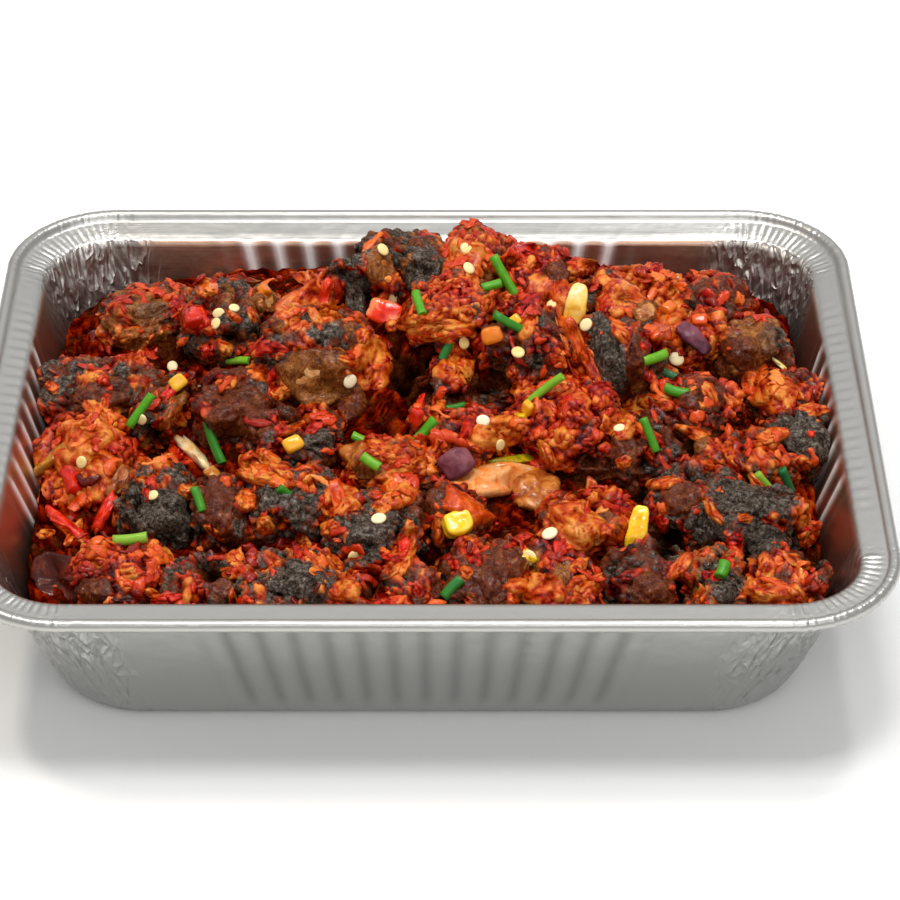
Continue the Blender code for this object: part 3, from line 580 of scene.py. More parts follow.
# The cooked surface of one chunk or clump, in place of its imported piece
def chunkPiece(number, name):
    grid = bodyGrid(name, chunkDetail)
    normals = gridNormals(grid)
    height, marks = cookedRelief(grid, looks[name], 100 + 40 * number)
    grid = keptInTray(grid + normals * height[..., None])
    drawEnds(grid)
    quads, triangles = ballFaces(*grid.shape[:2])
    points = ballPoints(grid)
    piece = meshObject(name + "_cooked", points, quads, triangles,
                       {key: ballPoints(values) for key, values in marks.items()})
    finishPiece(piece, meatMaterial, name, slot=recordNodes[name])
    solids.append((points, quads, triangles, name))


for number, name in enumerate(chunkNames):
    chunkPiece(number, name)
print("chunks:", len(chunkNames))

# Sauce bed: a lid over the plan, its height that of the sauce, closed down the wall and across the foot

bed = {"pool": 36, "edge": 50, "rise": 38, "top": (12, 55), "spread": (95, 60), "below": 10,
       "half": (139.5, 109.5), "foot": 3.5, "footInset": 14, "rows": 110, "columns": 340}


# The smooth envelope of the heap: a level edge and one rounded hill
def heapHeight(x, y):
    across = (x / mm - bed["top"][0]) / bed["spread"][0]
    along = (y / mm - bed["top"][1]) / bed["spread"][1]
    return (bed["edge"] + bed["rise"] * np.exp(-across ** 2 - along ** 2)) * mm


# A rounded rectangle's ring at even angles: an oval of a high power
def roundedRing(halfX, halfY, count):
    turn = np.arange(count) * 2 * math.pi / count
    way = np.stack((np.cos(turn), np.sin(turn)), -1)
    steep = 8
    reach = ((np.abs(way[:, 0]) / halfX) ** steep + (np.abs(way[:, 1]) / halfY) ** steep) ** (-1 / steep)
    return way * reach[:, None] * mm


def bedPiece():
    ring = roundedRing(*bed["half"], bed["columns"])
    share = np.linspace(0, 1, bed["rows"])[::-1, None, None] ** 0.8
    middle = np.array(bed["top"]) * mm
    plan = middle + (ring - middle) * share
    top = heapHeight(plan[..., 0], plan[..., 1]) - bed["below"] * mm
    height = np.maximum(top, bed["pool"] * mm)
    lid = np.concatenate((plan, height[..., None]), -1)
    heaped = eased(height / mm, bed["pool"], bed["pool"] + 3)
    rise, marks = cookedRelief(lid, (0.8, 0.0, 0.0, 0.32), 17)
    lid[..., 2] += rise * (0.25 + 0.75 * heaped) + 1.5 * mm * bumps(lid, 14 * mm, 5) * heaped
    level = np.full((bed["columns"], 1), bed["foot"] * mm)
    foot = np.concatenate((ring * (1 - bed["footInset"] / bed["half"][0]), level), -1)
    grid = np.concatenate((np.broadcast_to(foot.mean(0), (1, *foot.shape)), foot[None], lid))
    drawEnds(grid)
    # painted shade: the bed lies down in the gaps between the chunks, so all of it is darkened at least this
    # much
    marks["hollow"] = np.maximum(marks["hollow"], 0.62)
    marks = {key: np.concatenate((values[:1], values[:1], values)) for key, values in marks.items()}
    quads, triangles = ballFaces(*grid.shape[:2])
    points = ballPoints(grid)
    piece = meshObject("sauce_cooked", points, quads, triangles,
                       {key: ballPoints(values) for key, values in marks.items()})
    finishPiece(piece, meatMaterial, "sauce_bed", slot="sauce")
    solids.append((points, quads, triangles, "sauce_bed"))


bedPiece()
print("sauce bed")

# What the toppings lie on

# All the solids' faces in one tree for rays, and the piece that each face belongs to
def landingTree():
    points, faces, owners, count = [], [], [], 0
    for own, quads, triangles, name in solids:
        points.append(own)
        faces.extend((quads + count).tolist())
        faces.extend((triangles + count).tolist())
        owners.extend([name] * (len(quads) + len(triangles)))
        count += len(own)
    return BVHTree.FromPolygons(np.concatenate(points).tolist(), faces), owners


landing, owners = landingTree()
eye = Vector(guest["eye"])
print("landing tree:", len(owners), "faces")


# Where a sight line of the guest meets the food: place, normal and the name of the piece
def seenSpot(way):
    spot, normal, face, _ = landing.ray_cast(eye, way)
    return (spot, normal, owners[face]) if spot is not None else None


# The guest's sight line to a plan place on the heap
def planSight(x, y):
    return (Vector((x * mm, y * mm, float(heapHeight(x * mm, y * mm)))) - eye).normalized()


# Toppings: each is a small grid of points in its own frame, laid at a spot along a direction

# Rows of a rotation: along, across and up, from an up direction and a wished heading
def frameAt(up, heading):
    up = np.array(up, float)
    along = np.array(heading, float)
    along = unit(along - up * (along @ up))
    return np.stack((along, np.cross(up, along), up))


# Points and faces of many ball-like grids of one size, put together
def ballsTogether(grids):
    quads, triangles = ballFaces(*grids[0].shape[:2])
    points = np.stack([ballPoints(grid) for grid in grids])
    shift = (np.arange(len(grids)) * points.shape[1])[:, None, None]
    quads, triangles = (quads + shift).reshape(-1, 4), (triangles + shift).reshape(-1, 3)
    return points.reshape(-1, points.shape[2]), quads, triangles


# Joins many small pieces of one kind, each a ball-like grid, into one mesh with one number per piece
def joinedPiece(name, grids, shades, material, slot=None):
    points, quads, triangles = ballsTogether(grids)
    marks = {"shade": np.repeat(np.array(shades, float), len(points) // len(grids))}
    piece = meshObject(name, points, quads, triangles, marks)
    finishPiece(piece, material, slot=slot)
    return piece


# A wet cut piece: a ramp of colours over each piece's own shade plus noise, under a thin wet coat; where
# through is given, light passes through its flesh
def rampMaterial(name, stops, rough, grain, coat=0.2, bumpDepth=0.25, through=0.0, mottle=0.4):
    material, tree, shader = newMaterial(name)
    fine = grainOf(tree, grain, 3.0, 0.6, 3 * through)
    tone = maths(tree, "ADD", mark(tree, "shade"), maths(tree, "MULTIPLY_ADD", fine, mottle, -mottle / 2))
    tree.links.new(add(tree, "ValToRGB", {0: tone}, stops).outputs[0], shader.inputs["Base Color"])
    shader.inputs["Roughness"].default_value = rough
    shader.inputs["Specular IOR Level"].default_value = 0.25
    shader.inputs["Coat Weight"].default_value = coat
    shader.inputs["Coat Roughness"].default_value = 0.1
    if through:
        shader.inputs["Subsurface Weight"].default_value = through
        shader.inputs["Subsurface Scale"].default_value = 1.5 * mm
    bump = add(tree, "Bump", {"Height": fine, "Strength": 0.5, "Distance": bumpDepth * mm}).outputs[0]
    for socket in ("Normal", "Coat Normal"):
        tree.links.new(bump, shader.inputs[socket])
    return material


# Smears: mush and skins spread over what the guest sees round a place of the picture, so that they
# bridge neighbouring pieces. Rows: picture place x y, length and width in its pixels, turn as seen,
# dome in millimetres and kind
smears = (
    (137, 338, 50, 24, 10, 2, "skin"), (150, 309, 38, 20, 15, 2, "pale"), (196, 319, 32, 32, 0, 5, "red"),
    (207, 288, 26, 20, 0, 4, "orange"), (264, 300, 28, 30, 40, 3, "skin"),
    (316, 377, 84, 60, -10, 4, "skin"), (352, 402, 32, 40, 0, 4, "brown"), (380, 265, 30, 40, 0, 4, "skin"),
    (424, 268, 34, 48, -20, 3, "char"), (355, 300, 20, 68, 5, 3, "char"),
    (310, 303, 74, 40, 30, 3, "orange"), (373, 365, 42, 60, 0, 3, "orange"),
    (268, 479, 66, 18, -14, 3, "orange"), (246, 500, 22, 24, 0, 4, "orange"),
    (68, 528, 54, 15, -38, 3, "orange"), (103, 515, 44, 11, 61, 3, "red"), (175, 387, 38, 13, 40, 3, "red"),
    (166, 600, 38, 12, 15, 3, "red"), (246, 601, 18, 12, 0, 3, "red"), (207, 351, 15, 16, 0, 3, "red"),
    (525, 252, 32, 18, 10, 4, "red"), (557, 275, 26, 30, 0, 4, "brown"),
    (580, 358, 96, 26, -66, 3, "orange"), (608, 357, 88, 30, -80, 4, "char"),
    (637, 360, 24, 60, 0, 3, "brown"), (735, 496, 64, 36, -10, 4, "char"), (762, 540, 50, 34, 0, 4, "char"),
    (703, 524, 40, 44, 0, 3, "char"), (680, 500, 40, 38, 0, 3, "brown"), (735, 545, 20, 26, 0, 3, "red"),
    (812, 437, 64, 34, -55, 3, "char"), (810, 510, 46, 66, 0, 4, "orange"), (822, 491, 22, 20, 0, 3, "red"),
    (668, 327, 44, 44, 0, 5, "orange"), (645, 312, 26, 22, 30, 3, "skin"),
    (742, 352, 40, 40, 0, 4, "brown"), (768, 340, 20, 36, 0, 3, "pale"),
    (773, 435, 34, 16, 15, 3, "orange"), (440, 330, 66, 24, 5, 3, "orange"),
    (500, 432, 66, 34, 15, 4, "orange"), (418, 412, 38, 9, 80, 2, "red"), (372, 533, 50, 46, 0, 4, "char"),
    (165, 515, 52, 44, -30, 4, "char"), (292, 580, 60, 38, 0, 4, "char"), (318, 441, 36, 26, 0, 3, "char"),
    (495, 577, 32, 58, 0, 3, "brown"), (219, 505, 34, 64, 0, 4, "brown"), (726, 586, 36, 40, 0, 3, "char"),
    (170, 417, 34, 17, 60, 2, "skin"), (118, 480, 38, 20, 60, 2, "skin"), (366, 466, 30, 26, 0, 3, "skin"),
    (399, 490, 38, 40, 0, 4, "orange"), (574, 412, 40, 36, 20, 4, "orange"),
    (576, 525, 60, 44, -20, 4, "orange"), (85, 470, 60, 66, 0, 4, "orange"),
    (88, 440, 50, 40, 20, 4, "orange"), (105, 392, 60, 34, 0, 3, "brown"),
    (462, 262, 46, 50, 0, 4, "orange"), (545, 300, 50, 60, 10, 3, "orange"),
    (241, 414, 62, 48, 0, 3, "brown"), (345, 590, 34, 26, 0, 3, "orange"),
    (455, 365, 40, 40, 0, 3, "orange"), (620, 425, 40, 30, 0, 3, "orange"),
    (775, 395, 50, 40, 0, 3, "orange"), (700, 395, 50, 40, 0, 3, "brown"),
    (620, 300, 50, 40, 0, 3, "orange"), (440, 450, 30, 26, 0, 3, "orange"),
    (545, 590, 44, 36, 0, 3, "orange"), (95, 590, 40, 26, 0, 3, "brown"), (650, 590, 40, 34, 0, 3, "brown"),
    (600, 468, 50, 30, 0, 3, "brown"), (340, 500, 44, 34, 0, 3, "orange"),
    (765, 590, 50, 26, 0, 3, "orange"))
strewnSmears = {"count": 260, "length": (14, 40), "width": (9, 20), "dome": 2.2, "seed": 31,
                "x": (45, 835), "y": (240, 603)}
smearDetail = {"large": (11, 30), "small": (8, 20)}     # rows and columns of a smear's front


# Whether a closed ball-like grid has its faces outward, by its signed volume; if not, its columns
# are turned round
def facedOut(grid):
    quads, _ = ballFaces(*grid.shape[:2])
    corners = ballPoints(grid)[quads]
    corners = corners - corners.mean((0, 1))
    volume = (corners[:, 0] * np.cross(corners[:, 1], corners[:, 2])).sum()
    return grid if volume > 0 else grid[:, ::-1]


# An oval round the place with a rim bent by noise; each point is cast along the guest's sight onto
# the food, the depths are smoothed, and the middle is raised to a dome. A blunt below 1 gives square ends;
# too few rays on the food give no grid
def smearGrid(x, y, length, width, turn, dome, seed, size, soft=4, blunt=1.0, least=0.85):
    rows, columns = size
    share = np.linspace(0, 1, rows)[:, None]
    angle = np.arange(columns) * 2 * math.pi / columns
    ring = np.stack((np.cos(angle), np.sin(angle), np.full(columns, seed * 0.37)), -1)
    rim = (1 + 0.45 * bumps(ring, 0.9, 7) + 0.25 * bumps(ring, 0.35, 8)) * (0.9 if blunt < 1 else 1)
    level, steep = (np.sign(wave) * np.abs(wave) ** blunt for wave in (np.cos(angle), np.sin(angle)))
    along, across = share * rim * level * length / 2, share * rim * steep * width / 2
    cosine, sine = math.cos(math.radians(turn)), math.sin(math.radians(turn))
    placeX, placeY = x + along * cosine - across * sine, y - along * sine - across * cosine
    ways, depths = np.zeros((rows, columns, 3)), np.zeros((rows, columns))
    for row, column in np.ndindex(rows, columns):
        way = sightTo(placeX[row, column], placeY[row, column])
        ways[row, column] = way
        spot, _, _, depth = landing.ray_cast(eye, way, 1.6)
        depths[row, column] = depth if spot is not None else 0
    seen = depths[depths > 0]
    if len(seen) < least * depths.size:
        return None, None
    middle = np.median(seen)
    depths = np.where(depths > 0, np.clip(depths, middle - 10 * mm, middle + 7 * mm), middle)
    depths = softened(depths, soft)
    raised = np.sqrt(1 - share ** 2) * dome * mm
    front = np.array(eye) + ways * (depths - raised + 0.3 * mm * share)[..., None]
    back = np.array(eye) + ways * (depths + 2.0 * mm)[..., None]
    return np.concatenate((front, back[::-1])), ways


# The look of each kind of smear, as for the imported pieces, and what it adds to the tone and sets the
# other marks to
kindLooks = {
    "orange": (0.97, 0, 0, 0.6), "red": (0.97, 0, 0, 0.5), "char": (0.02, 0.97, 0, 0.5),
    "skin": (0.05, 0, 0.97, 0.6), "pale": (0.02, 0.2, 0.9, 0.6), "brown": (0.1, 0.1, 0.1, 0.5)}
kindMarks = {
    "orange": {"pulp": 1.0, "tone": 0.2, "char": 0, "skin": 0, "red": 0.0},
    "red": {"pulp": 1.0, "tone": 0.1, "char": 0, "skin": 0, "red": 1.0},
    "char": {"pulp": 0.0, "char": 1.0, "skin": 0, "red": 0},
    "skin": {"pulp": 0.0, "char": 0.0, "skin": 1.0, "red": 0},
    "pale": {"pulp": 0.0, "char": 0.5, "skin": 1.0, "red": 0},
    "brown": {"pulp": 0.0, "char": 0.0, "skin": 0.0, "red": 0}}


# One smear's grid and marks: the relief of its kind, pushed towards the guest
def cookedSmear(row, seed, size):
    x, y, length, width, turn, dome, kind = row
    grid, ways = smearGrid(x, y, length, width, turn, dome, seed, size)
    if grid is None:
        return None
    rows = size[0]
    height, marks = cookedRelief(grid[:rows], kindLooks[kind], 900 + seed * 7)
    edge = eased(-np.linspace(0, 1, rows)[:, None], -1, -0.6)
    grid[:rows] -= ways * (0.8 * height * edge)[..., None]
    keep = eased(-np.linspace(0, 1, rows)[:, None], -1, -0.75) * np.ones_like(height)
    for key, value in kindMarks[kind].items():
        if key == "tone":
            marks[key] = np.clip(marks[key] + value, 0, 1)
        else:
            marks[key] = marks[key] * (1 - 0.85 * keep) + value * 0.85 * keep
    # smears take less painted shade
    marks["hollow"] = marks["hollow"] * 0.7
    marks = {key: np.concatenate((values, values[::-1])) for key, values in marks.items()}
    grid = keptInTray(grid)
    stack = np.concatenate([grid] + [marks[key][..., None] for key in sorted(marks)], -1)
    faced = facedOut(grid)
    return stack if faced is grid else stack[:, ::-1]


# Smears as one mesh; each grid point holds its place and then its marks in the order of their names
def joinedSmears(name, stacks):
    values, quads, triangles = ballsTogether(stacks)
    keys = sorted(("pulp", "tone", "char", "skin", "hollow", "red"))
    marks = {key: values[:, 3 + number] for number, key in enumerate(keys)}
    finishPiece(meshObject(name, values[:, :3], quads, triangles, marks), meatMaterial, slot="pulp")
    solids.append((values[:, :3], quads, triangles, name))


# Small strewn smears of minced pepper first, then the large ones in the order of their table
def laySmears():
    rng = np.random.default_rng(strewnSmears["seed"])
    small = []
    for number in range(strewnSmears["count"]):
        x, y = rng.uniform(*strewnSmears["x"]), rng.uniform(*strewnSmears["y"])
        hit = seenSpot(sightTo(x, y))
        if hit is None or hit[1].z < -0.3:
            continue
        weight = patchWeights(np.array(hit[0])[None])
        if max(weight[kind][0] for kind in ("char", "skin", "brown", "shadedPit")) > 0.3:
            continue
        kind = "red" if rng.random() < 0.25 else "orange"
        row = (x, y, rng.uniform(*strewnSmears["length"]), rng.uniform(*strewnSmears["width"]),
               rng.uniform(-90, 90), strewnSmears["dome"], kind)
        stack = cookedSmear(row, 100 + number, smearDetail["small"])
        if stack is not None:
            small.append(stack)
    joinedSmears("pepper_mush", small)
    large = [cookedSmear(row, number, smearDetail["large"]) for number, row in enumerate(smears)]
    joinedSmears("cooked_smears", [stack for stack in large if stack is not None])


laySmears()

# Plump translucent pieces of pepper, fat and onion: picture place x y, length and width in its
# pixels, turn as seen, dome in millimetres and shade from 0 to 1
softKinds = {
    "amber_fat": {
        "stops": ((0.0, "#56200a"), (0.35, "#9c4a14"), (0.65, "#cc7e34"), (1.0, "#edb87c")),
        "rows": ((533, 490, 54, 46, 0, 5, 0.5), (170, 417, 34, 16, 60, 3, 0.35),
                 (118, 480, 38, 17, 60, 3, 0.3), (264, 300, 24, 20, 0, 3, 0.7),
                 (645, 312, 24, 18, 30, 3, 0.6), (380, 262, 20, 22, 0, 3, 0.4),
                 (355, 455, 30, 26, 20, 4, 0.4), (305, 374, 46, 32, -10, 4, 0.75))},
    "pepper_curl_bands": {
        "replaces": ("yellow_pepper_curl",),
        "stops": ((0.0, "#4a2202"), (0.35, "#8a5208"), (0.65, "#b87c18"), (1.0, "#dcae50")),
        "rows": ((50, 460, 50, 13, 42, 4, 0.55), (32, 506, 60, 12, 82, 4, 0.4))},
    "orange_flesh": {
        "stops": ((0.0, "#a02804"), (0.35, "#d84c08"), (0.65, "#ee7a20"), (1.0, "#f6b070")),
        "rows": ((482, 483, 74, 38, 14, 9, 0.85), (466, 509, 62, 32, -36, 8, 0.3),
                 (268, 479, 64, 15, -14, 3, 0.5), (246, 501, 22, 22, 20, 4, 0.45),
                 (773, 435, 34, 13, 15, 3, 0.5), (80, 500, 34, 14, 50, 3, 0.3),
                 (339, 500, 18, 44, 15, 4, 0.3), (399, 486, 28, 34, -20, 4, 0.35),
                 (258, 472, 24, 20, 0, 4, 0.3), (96, 552, 26, 20, 0, 4, 0.3),
                 (661, 333, 26, 22, 0, 4, 0.25), (697, 383, 26, 16, 20, 3, 0.3),
                 (207, 288, 24, 17, 0, 4, 0.4), (452, 334, 40, 12, 8, 3, 0.3),
                 (668, 322, 30, 22, 40, 5, 0.3))},
    "sliver_flesh": {
        "replaces": ("onion_sliver",),
        "stops": ((0.0, "#c8641c"), (0.35, "#e8a850"), (0.65, "#f0d098"), (1.0, "#faeccc")),
        "rows": ((195, 454, 54, 15, -47, 6, 0.62), (213, 474, 20, 15, -47, 6, 0.2))},
    "red_flesh": {
        "stops": ((0.0, "#7a0802"), (0.35, "#c41606"), (0.65, "#e8300e"), (1.0, "#f87a50")),
        "rows": ((196, 319, 28, 28, 0, 6, 0.5), (104, 513, 50, 15, 61, 5, 0.55),
                 (175, 387, 38, 11, 40, 3, 0.4), (68, 526, 58, 15, -38, 4, 0.5),
                 (72, 478, 22, 40, 10, 4, 0.45), (418, 413, 40, 10, 80, 4, 0.5),
                 (166, 600, 38, 10, 15, 3, 0.3), (418, 412, 38, 8, 80, 2, 0.4),
                 (246, 601, 17, 10, 0, 3, 0.5), (207, 351, 14, 14, 0, 3, 0.5),
                 (521, 250, 20, 12, 10, 4, 0.5), (822, 491, 20, 15, 0, 3, 0.45),
                 (811, 434, 12, 10, 0, 3, 0.5), (735, 544, 12, 22, 10, 3, 0.4),
                 (325, 292, 14, 34, -12, 4, 0.55), (404, 549, 12, 26, 0, 3, 0.45),
                 (570, 405, 16, 22, 30, 3, 0.4), (560, 548, 18, 20, 0, 3, 0.3))},
    "yellow_flesh": {
        "stops": ((0.0, "#8a8a10"), (0.35, "#d8b014"), (0.65, "#f4cc28"), (1.0, "#fbe6a0")),
        "rows": ((512, 460, 56, 11, 6, 4, 0.1), (521, 416, 15, 8, 0, 3, 0.6),
                 (529, 557, 20, 12, -40, 3, 0.6), (779, 364, 24, 5, -40, 2, 0.9))},
}


softDetail = {"size": (9, 24), "soft": 12, "blunt": 0.6, "least": 0.5}


# One mesh of soft pieces, each cast onto the food as a smear is, but plump and with squarer ends
def laySoftPieces(name, rows, seed, material, slot=None, replaced=()):
    grids, shades = [], []
    for number, (x, y, length, width, turn, dome, shade) in enumerate(rows):
        grid, _ = smearGrid(x, y, length, width, turn, dome, seed + number, **softDetail)
        if grid is not None:
            grids.append(facedOut(keptInTray(grid)))
            shades.append(shade)
    piece = joinedPiece(name, grids, shades, material, slot)
    if replaced:
        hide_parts(*replaced)


for number, (kind, entry) in enumerate(softKinds.items()):
    laySoftPieces(kind, entry["rows"], 300 + 20 * number,
                  rampMaterial("stewed_" + kind, entry["stops"], 0.2, 5.0, 0.45, 1.4, 0.25, 1.6),
                  replaced=entry.get("replaces", ()))

# Oily sauce standing in the tray's front corners: thin smooth films with very sharp highlights
poolStops = ((0.0, "#1a0301"), (0.5, "#481006"), (1.0, "#9a3a0e"))
pools = ((62, 578, 72, 52, -20, 1.0, 0.45), (120, 600, 60, 14, 0, 1.0, 0.4), (832, 565, 24, 50, 0, 1.0, 0.3))
poolMaterial = rampMaterial("oilyPepperSauce", poolStops, 0.3, 9.0, 0.12, 1.5, 0.3, 1.2)
laySoftPieces("sauce_pools", pools, 400, poolMaterial, "sauce")
landing, owners = landingTree()
print("smears and soft pieces laid")

# Minced pepper clots and pepper shreds strewn over the chunks, thickest where pulp lies

pulpStops = ((0.0, "#3c0602"), (0.3, "#8e1605"), (0.55, "#c8330a"), (0.8, "#e2601a"), (1.0, "#f0903e"))
pulpMaterial = rampMaterial("stewedPepperPulp", pulpStops, 0.32, 1.2)
shredMaterial = rampMaterial("stewedPepperShred", pulpStops, 0.26, 1.6)
clots = {"count": 330, "size": (1.8, 4.6), "rows": 9, "columns": 14, "seed": 5}
shreds = {"count": 260, "length": (5, 16), "width": (1.8, 4.4), "thick": 1.3, "rows": 13, "columns": 8,
          "seed": 9}


strewn = {"x": (-136, 140), "y": (-108, 104), "tilt": (0.15, 1.25), "frontTurn": (-1.2, 1.2), "front": 0.8}


# A random spot on the food, seen from above and in front, kept as often as the piece there is pulpy
def strewnSpot(rng):
    while True:
        x, y = rng.uniform(*strewn["x"]), rng.uniform(*strewn["y"])
        tilt = rng.uniform(*strewn["tilt"])
        inFront = rng.random() < strewn["front"]
        turn = rng.uniform(*strewn["frontTurn"]) if inFront else rng.uniform(0, 2 * math.pi)
        way = Vector((math.sin(turn) * math.sin(tilt), -math.cos(turn) * math.sin(tilt), math.cos(tilt)))
        target = Vector((x * mm, y * mm, float(heapHeight(x * mm, y * mm))))
        spot, normal, face, _ = landing.ray_cast(target + way * 0.2, -way)
        if spot is None or normal.z < -0.1:
            continue
        weight = patchWeights(np.array(spot)[None])
        pulpish = max(weight["orange"][0], weight["red"][0])
        bare = max(weight[kind][0] for kind in ("char", "skin", "brown", "shadedPit"))
        owner = owners[face]
        cover = looks[owner][0] if owner in looks else 0.2
        if rng.random() < np.clip(cover * 0.75 + 0.5 * pulpish - 0.95 * bare, 0.02, 1):
            shade = 0.55 + 0.25 * weight["orange"][0] - 0.25 * weight["red"][0]
            if owner == "sauce_bed":
                shade -= 0.3
            return np.array(spot), np.array(normal), shade


# A clot: a ball pushed in and out by noise, longer than wide and wider than high, half sunk
def clotGrid(spot, up, size, rng):
    ways = ballWays(clots["rows"], clots["columns"])
    bump = 1 + 1.3 * bumps(ways + 20 * rng.random(3), 0.9, 3)
    shape = np.array((rng.uniform(0.9, 1.5), rng.uniform(0.5, 0.9), rng.uniform(0.4, 0.6))) * size / 2 * mm
    turned = frameAt(up, rng.normal(size=3))
    return spot + (ways * bump[..., None] * shape) @ turned


# A strand: a flat oval section carried along a path that keeps to the food. Each step goes along the
# heading, bends a little and is drawn back to the nearest place of the surface
def strandGrid(spot, up, length, width, thick, rng, heading=None):
    rows, columns = shreds["rows"], shreds["columns"]
    heading = rng.normal(size=3) if heading is None else np.array(heading, float)
    heading = unit(heading - up * (heading @ up))
    stride, curl = length / (rows - 1) * mm, rng.normal() * 0.12
    places, ups, straight = [np.array(spot)], [np.array(up)], 0
    for _ in range(rows - 1):
        side = np.cross(ups[-1], heading)
        heading = unit(heading + (curl + rng.normal() * 0.12) * side)
        near, normal, _, _ = landing.find_nearest(Vector(places[-1] + heading * stride), 8 * mm)
        if near is None:
            near, normal = places[-1] + heading * stride, ups[-1]
        near, normal = np.array(near), np.array(normal)
        step = near - places[-1]
        reach = np.linalg.norm(step)
        if (reach > 1.5 * stride or reach < 0.4 * stride) and straight < 2:
            near, normal, straight = places[-1] + heading * stride, ups[-1], straight + 1
        blended = unit(0.7 * ups[-1] + 0.3 * normal)
        heading = unit(near - places[-1])
        heading = unit(heading - blended * (heading @ blended))
        places.append(near)
        ups.append(blended)
    path, tops = softened(np.stack(places), 2), np.stack(ups)
    ahead = unit(np.gradient(path, axis=0))
    sides = unit(np.cross(tops, ahead))
    tops = np.cross(ahead, sides)
    along = np.linspace(-1, 1, rows)[:, None]
    turn = np.arange(columns) * 2 * math.pi / columns
    ragged = 1 + 0.3 * np.sin(5 * along + rng.uniform(0, 6)) + 0.22 * rng.normal(size=(rows, columns))
    taper = np.sqrt(np.clip(1 - along ** 4, 0, 1)) * ragged
    across = (taper * width / 2 * np.cos(turn))[..., None] * sides[:, None] * mm
    rise = (taper * thick / 2 * np.sin(turn) + thick * 0.2 + 0.25 * thick
            * np.sin(4 * along + rng.uniform(0, 6)))[..., None] * tops[:, None] * mm
    grid = path[:, None] + across + rise
    drawEnds(grid)
    return grid


def strewClots():
    rng = np.random.default_rng(clots["seed"])
    grids, shades = [], []
    for _ in range(clots["count"]):
        spot, up, shade = strewnSpot(rng)
        grids.append(clotGrid(spot, up, rng.uniform(*clots["size"]), rng))
        shades.append(shade + rng.normal() * 0.14)
    joinedPiece("pepper_clots", grids, shades, pulpMaterial, "pulp")


def strewShreds():
    rng = np.random.default_rng(shreds["seed"])
    grids, shades = [], []
    for _ in range(shreds["count"]):
        spot, up, shade = strewnSpot(rng)
        length, width = rng.uniform(*shreds["length"]), rng.uniform(*shreds["width"])
        grids.append(strandGrid(spot, up, length, width, shreds["thick"], rng))
        shades.append(shade + rng.normal() * 0.15)
    joinedPiece("pepper_shreds", grids, shades, shredMaterial, "pulp")


strewClots()
strewShreds()
print("clots and shreds strewn")

# Chives: plan place x y, length, turn as the guest sees it, radius, and shade from teal to olive

chives = (
    (-69, 24, 9.5, 0, 1.7, 0.8), (-104, 6, 14.5, 54, 1.8, 0.6), (-76, -13, 17, -70, 1.9, 0.3),
    (-103, -66, 12, 6, 2.0, 0.9), (-81, -44, 9.5, -70, 1.7, 0.4), (-3, 34, 11, -72, 1.7, 0.6),
    (29, 49, 17, -60, 1.9, 0.6), (24, 41, 7.5, 15, 1.9, 0.6), (32, 25, 19, -26, 1.8, 0.3),
    (43, 3, 18, 38, 1.6, 0.8), (6, 15, 10, 64, 1.7, 0.2), (10, -5, 7.5, 12, 1.5, 0.3),
    (-1, -15, 13.5, 48, 2.0, 0.6), (83, 23, 10.5, 18, 1.9, 0.7), (88, 17, 10, -25, 1.7, 0.1),
    (91, 10, 9, -14, 1.9, 0.5), (81, -11, 13, -68, 1.6, 0.5), (-20, -27, 7.5, -34, 1.9, 0.7),
    (-24, -17, 6.5, -24, 1.7, 0.7), (-50, -39, 6.5, -35, 1.7, 0.3), (9, -93, 9, 46, 1.9, 0.2),
    (103, -84, 6, 70, 2.2, 0.5), (128, -31, 11.5, -68, 1.8, 0.1), (121, -34, 12, -50, 1.5, 0.9))
chiveStops = ((0.0, "#1f6b45"), (0.3, "#2f7a16"), (0.6, "#4f9d1a"), (0.8, "#7cb52a"), (1.0, "#93b840"))
chiveMaterial = rampMaterial("choppedChive", chiveStops, 0.35, 2.5, 0.15, 0.1)


# A cut chive: a ring section carried along a shallow arc, its ends cut square and dished
def chiveGrid(length, radius, rng):
    stations = np.array((-0.93, -1, -0.97, -0.7, -0.35, 0, 0.35, 0.7, 0.97, 1, 1, 0.93))[:, None]
    widths = np.array((0, 0.62, 1, 1, 1, 1, 1, 1, 1, 0.95, 0.62, 0))[:, None]
    columns = 12
    turn = np.arange(columns) * 2 * math.pi / columns
    bow = rng.uniform(-0.04, 0.08) * length
    x = stations * length / 2 + 0 * turn
    y = bow * stations ** 2 + widths * radius * np.cos(turn)
    z = widths * radius * 0.88 * np.sin(turn) + 0 * stations
    return np.stack((x, y, z), -1) * mm


# The direction on the surface that looks turned by an angle to the guest
def lookedHeading(spot, up, degrees):
    sight = (Vector(spot) - eye).normalized()
    right = Vector((1, 0, 0))
    look = right * math.cos(math.radians(degrees)) + right.cross(sight) * math.sin(math.radians(degrees))
    facing = (Vector(up) - sight).normalized()
    return np.array((look - sight * look.dot(facing) / sight.dot(facing)).normalized())


def layChives():
    rng = np.random.default_rng(3)
    grids, shades = [], []
    for x, y, length, turn, radius, shade in chives:
        spot, up, _ = seenSpot(planSight(x, y))
        heading = lookedHeading(spot, up, turn)
        side = unit(np.cross(heading, np.array(up)))
        top = np.cross(side, heading)
        turned = np.stack((heading, np.cross(top, heading), top))
        grids.append(np.array(spot) + top * radius * 0.7 * mm + chiveGrid(length, radius, rng) @ turned)
        shades.append(shade)
    joinedPiece("chives", grids, shades, chiveMaterial)


layChives()

# Seeds: plan place x y and longest size

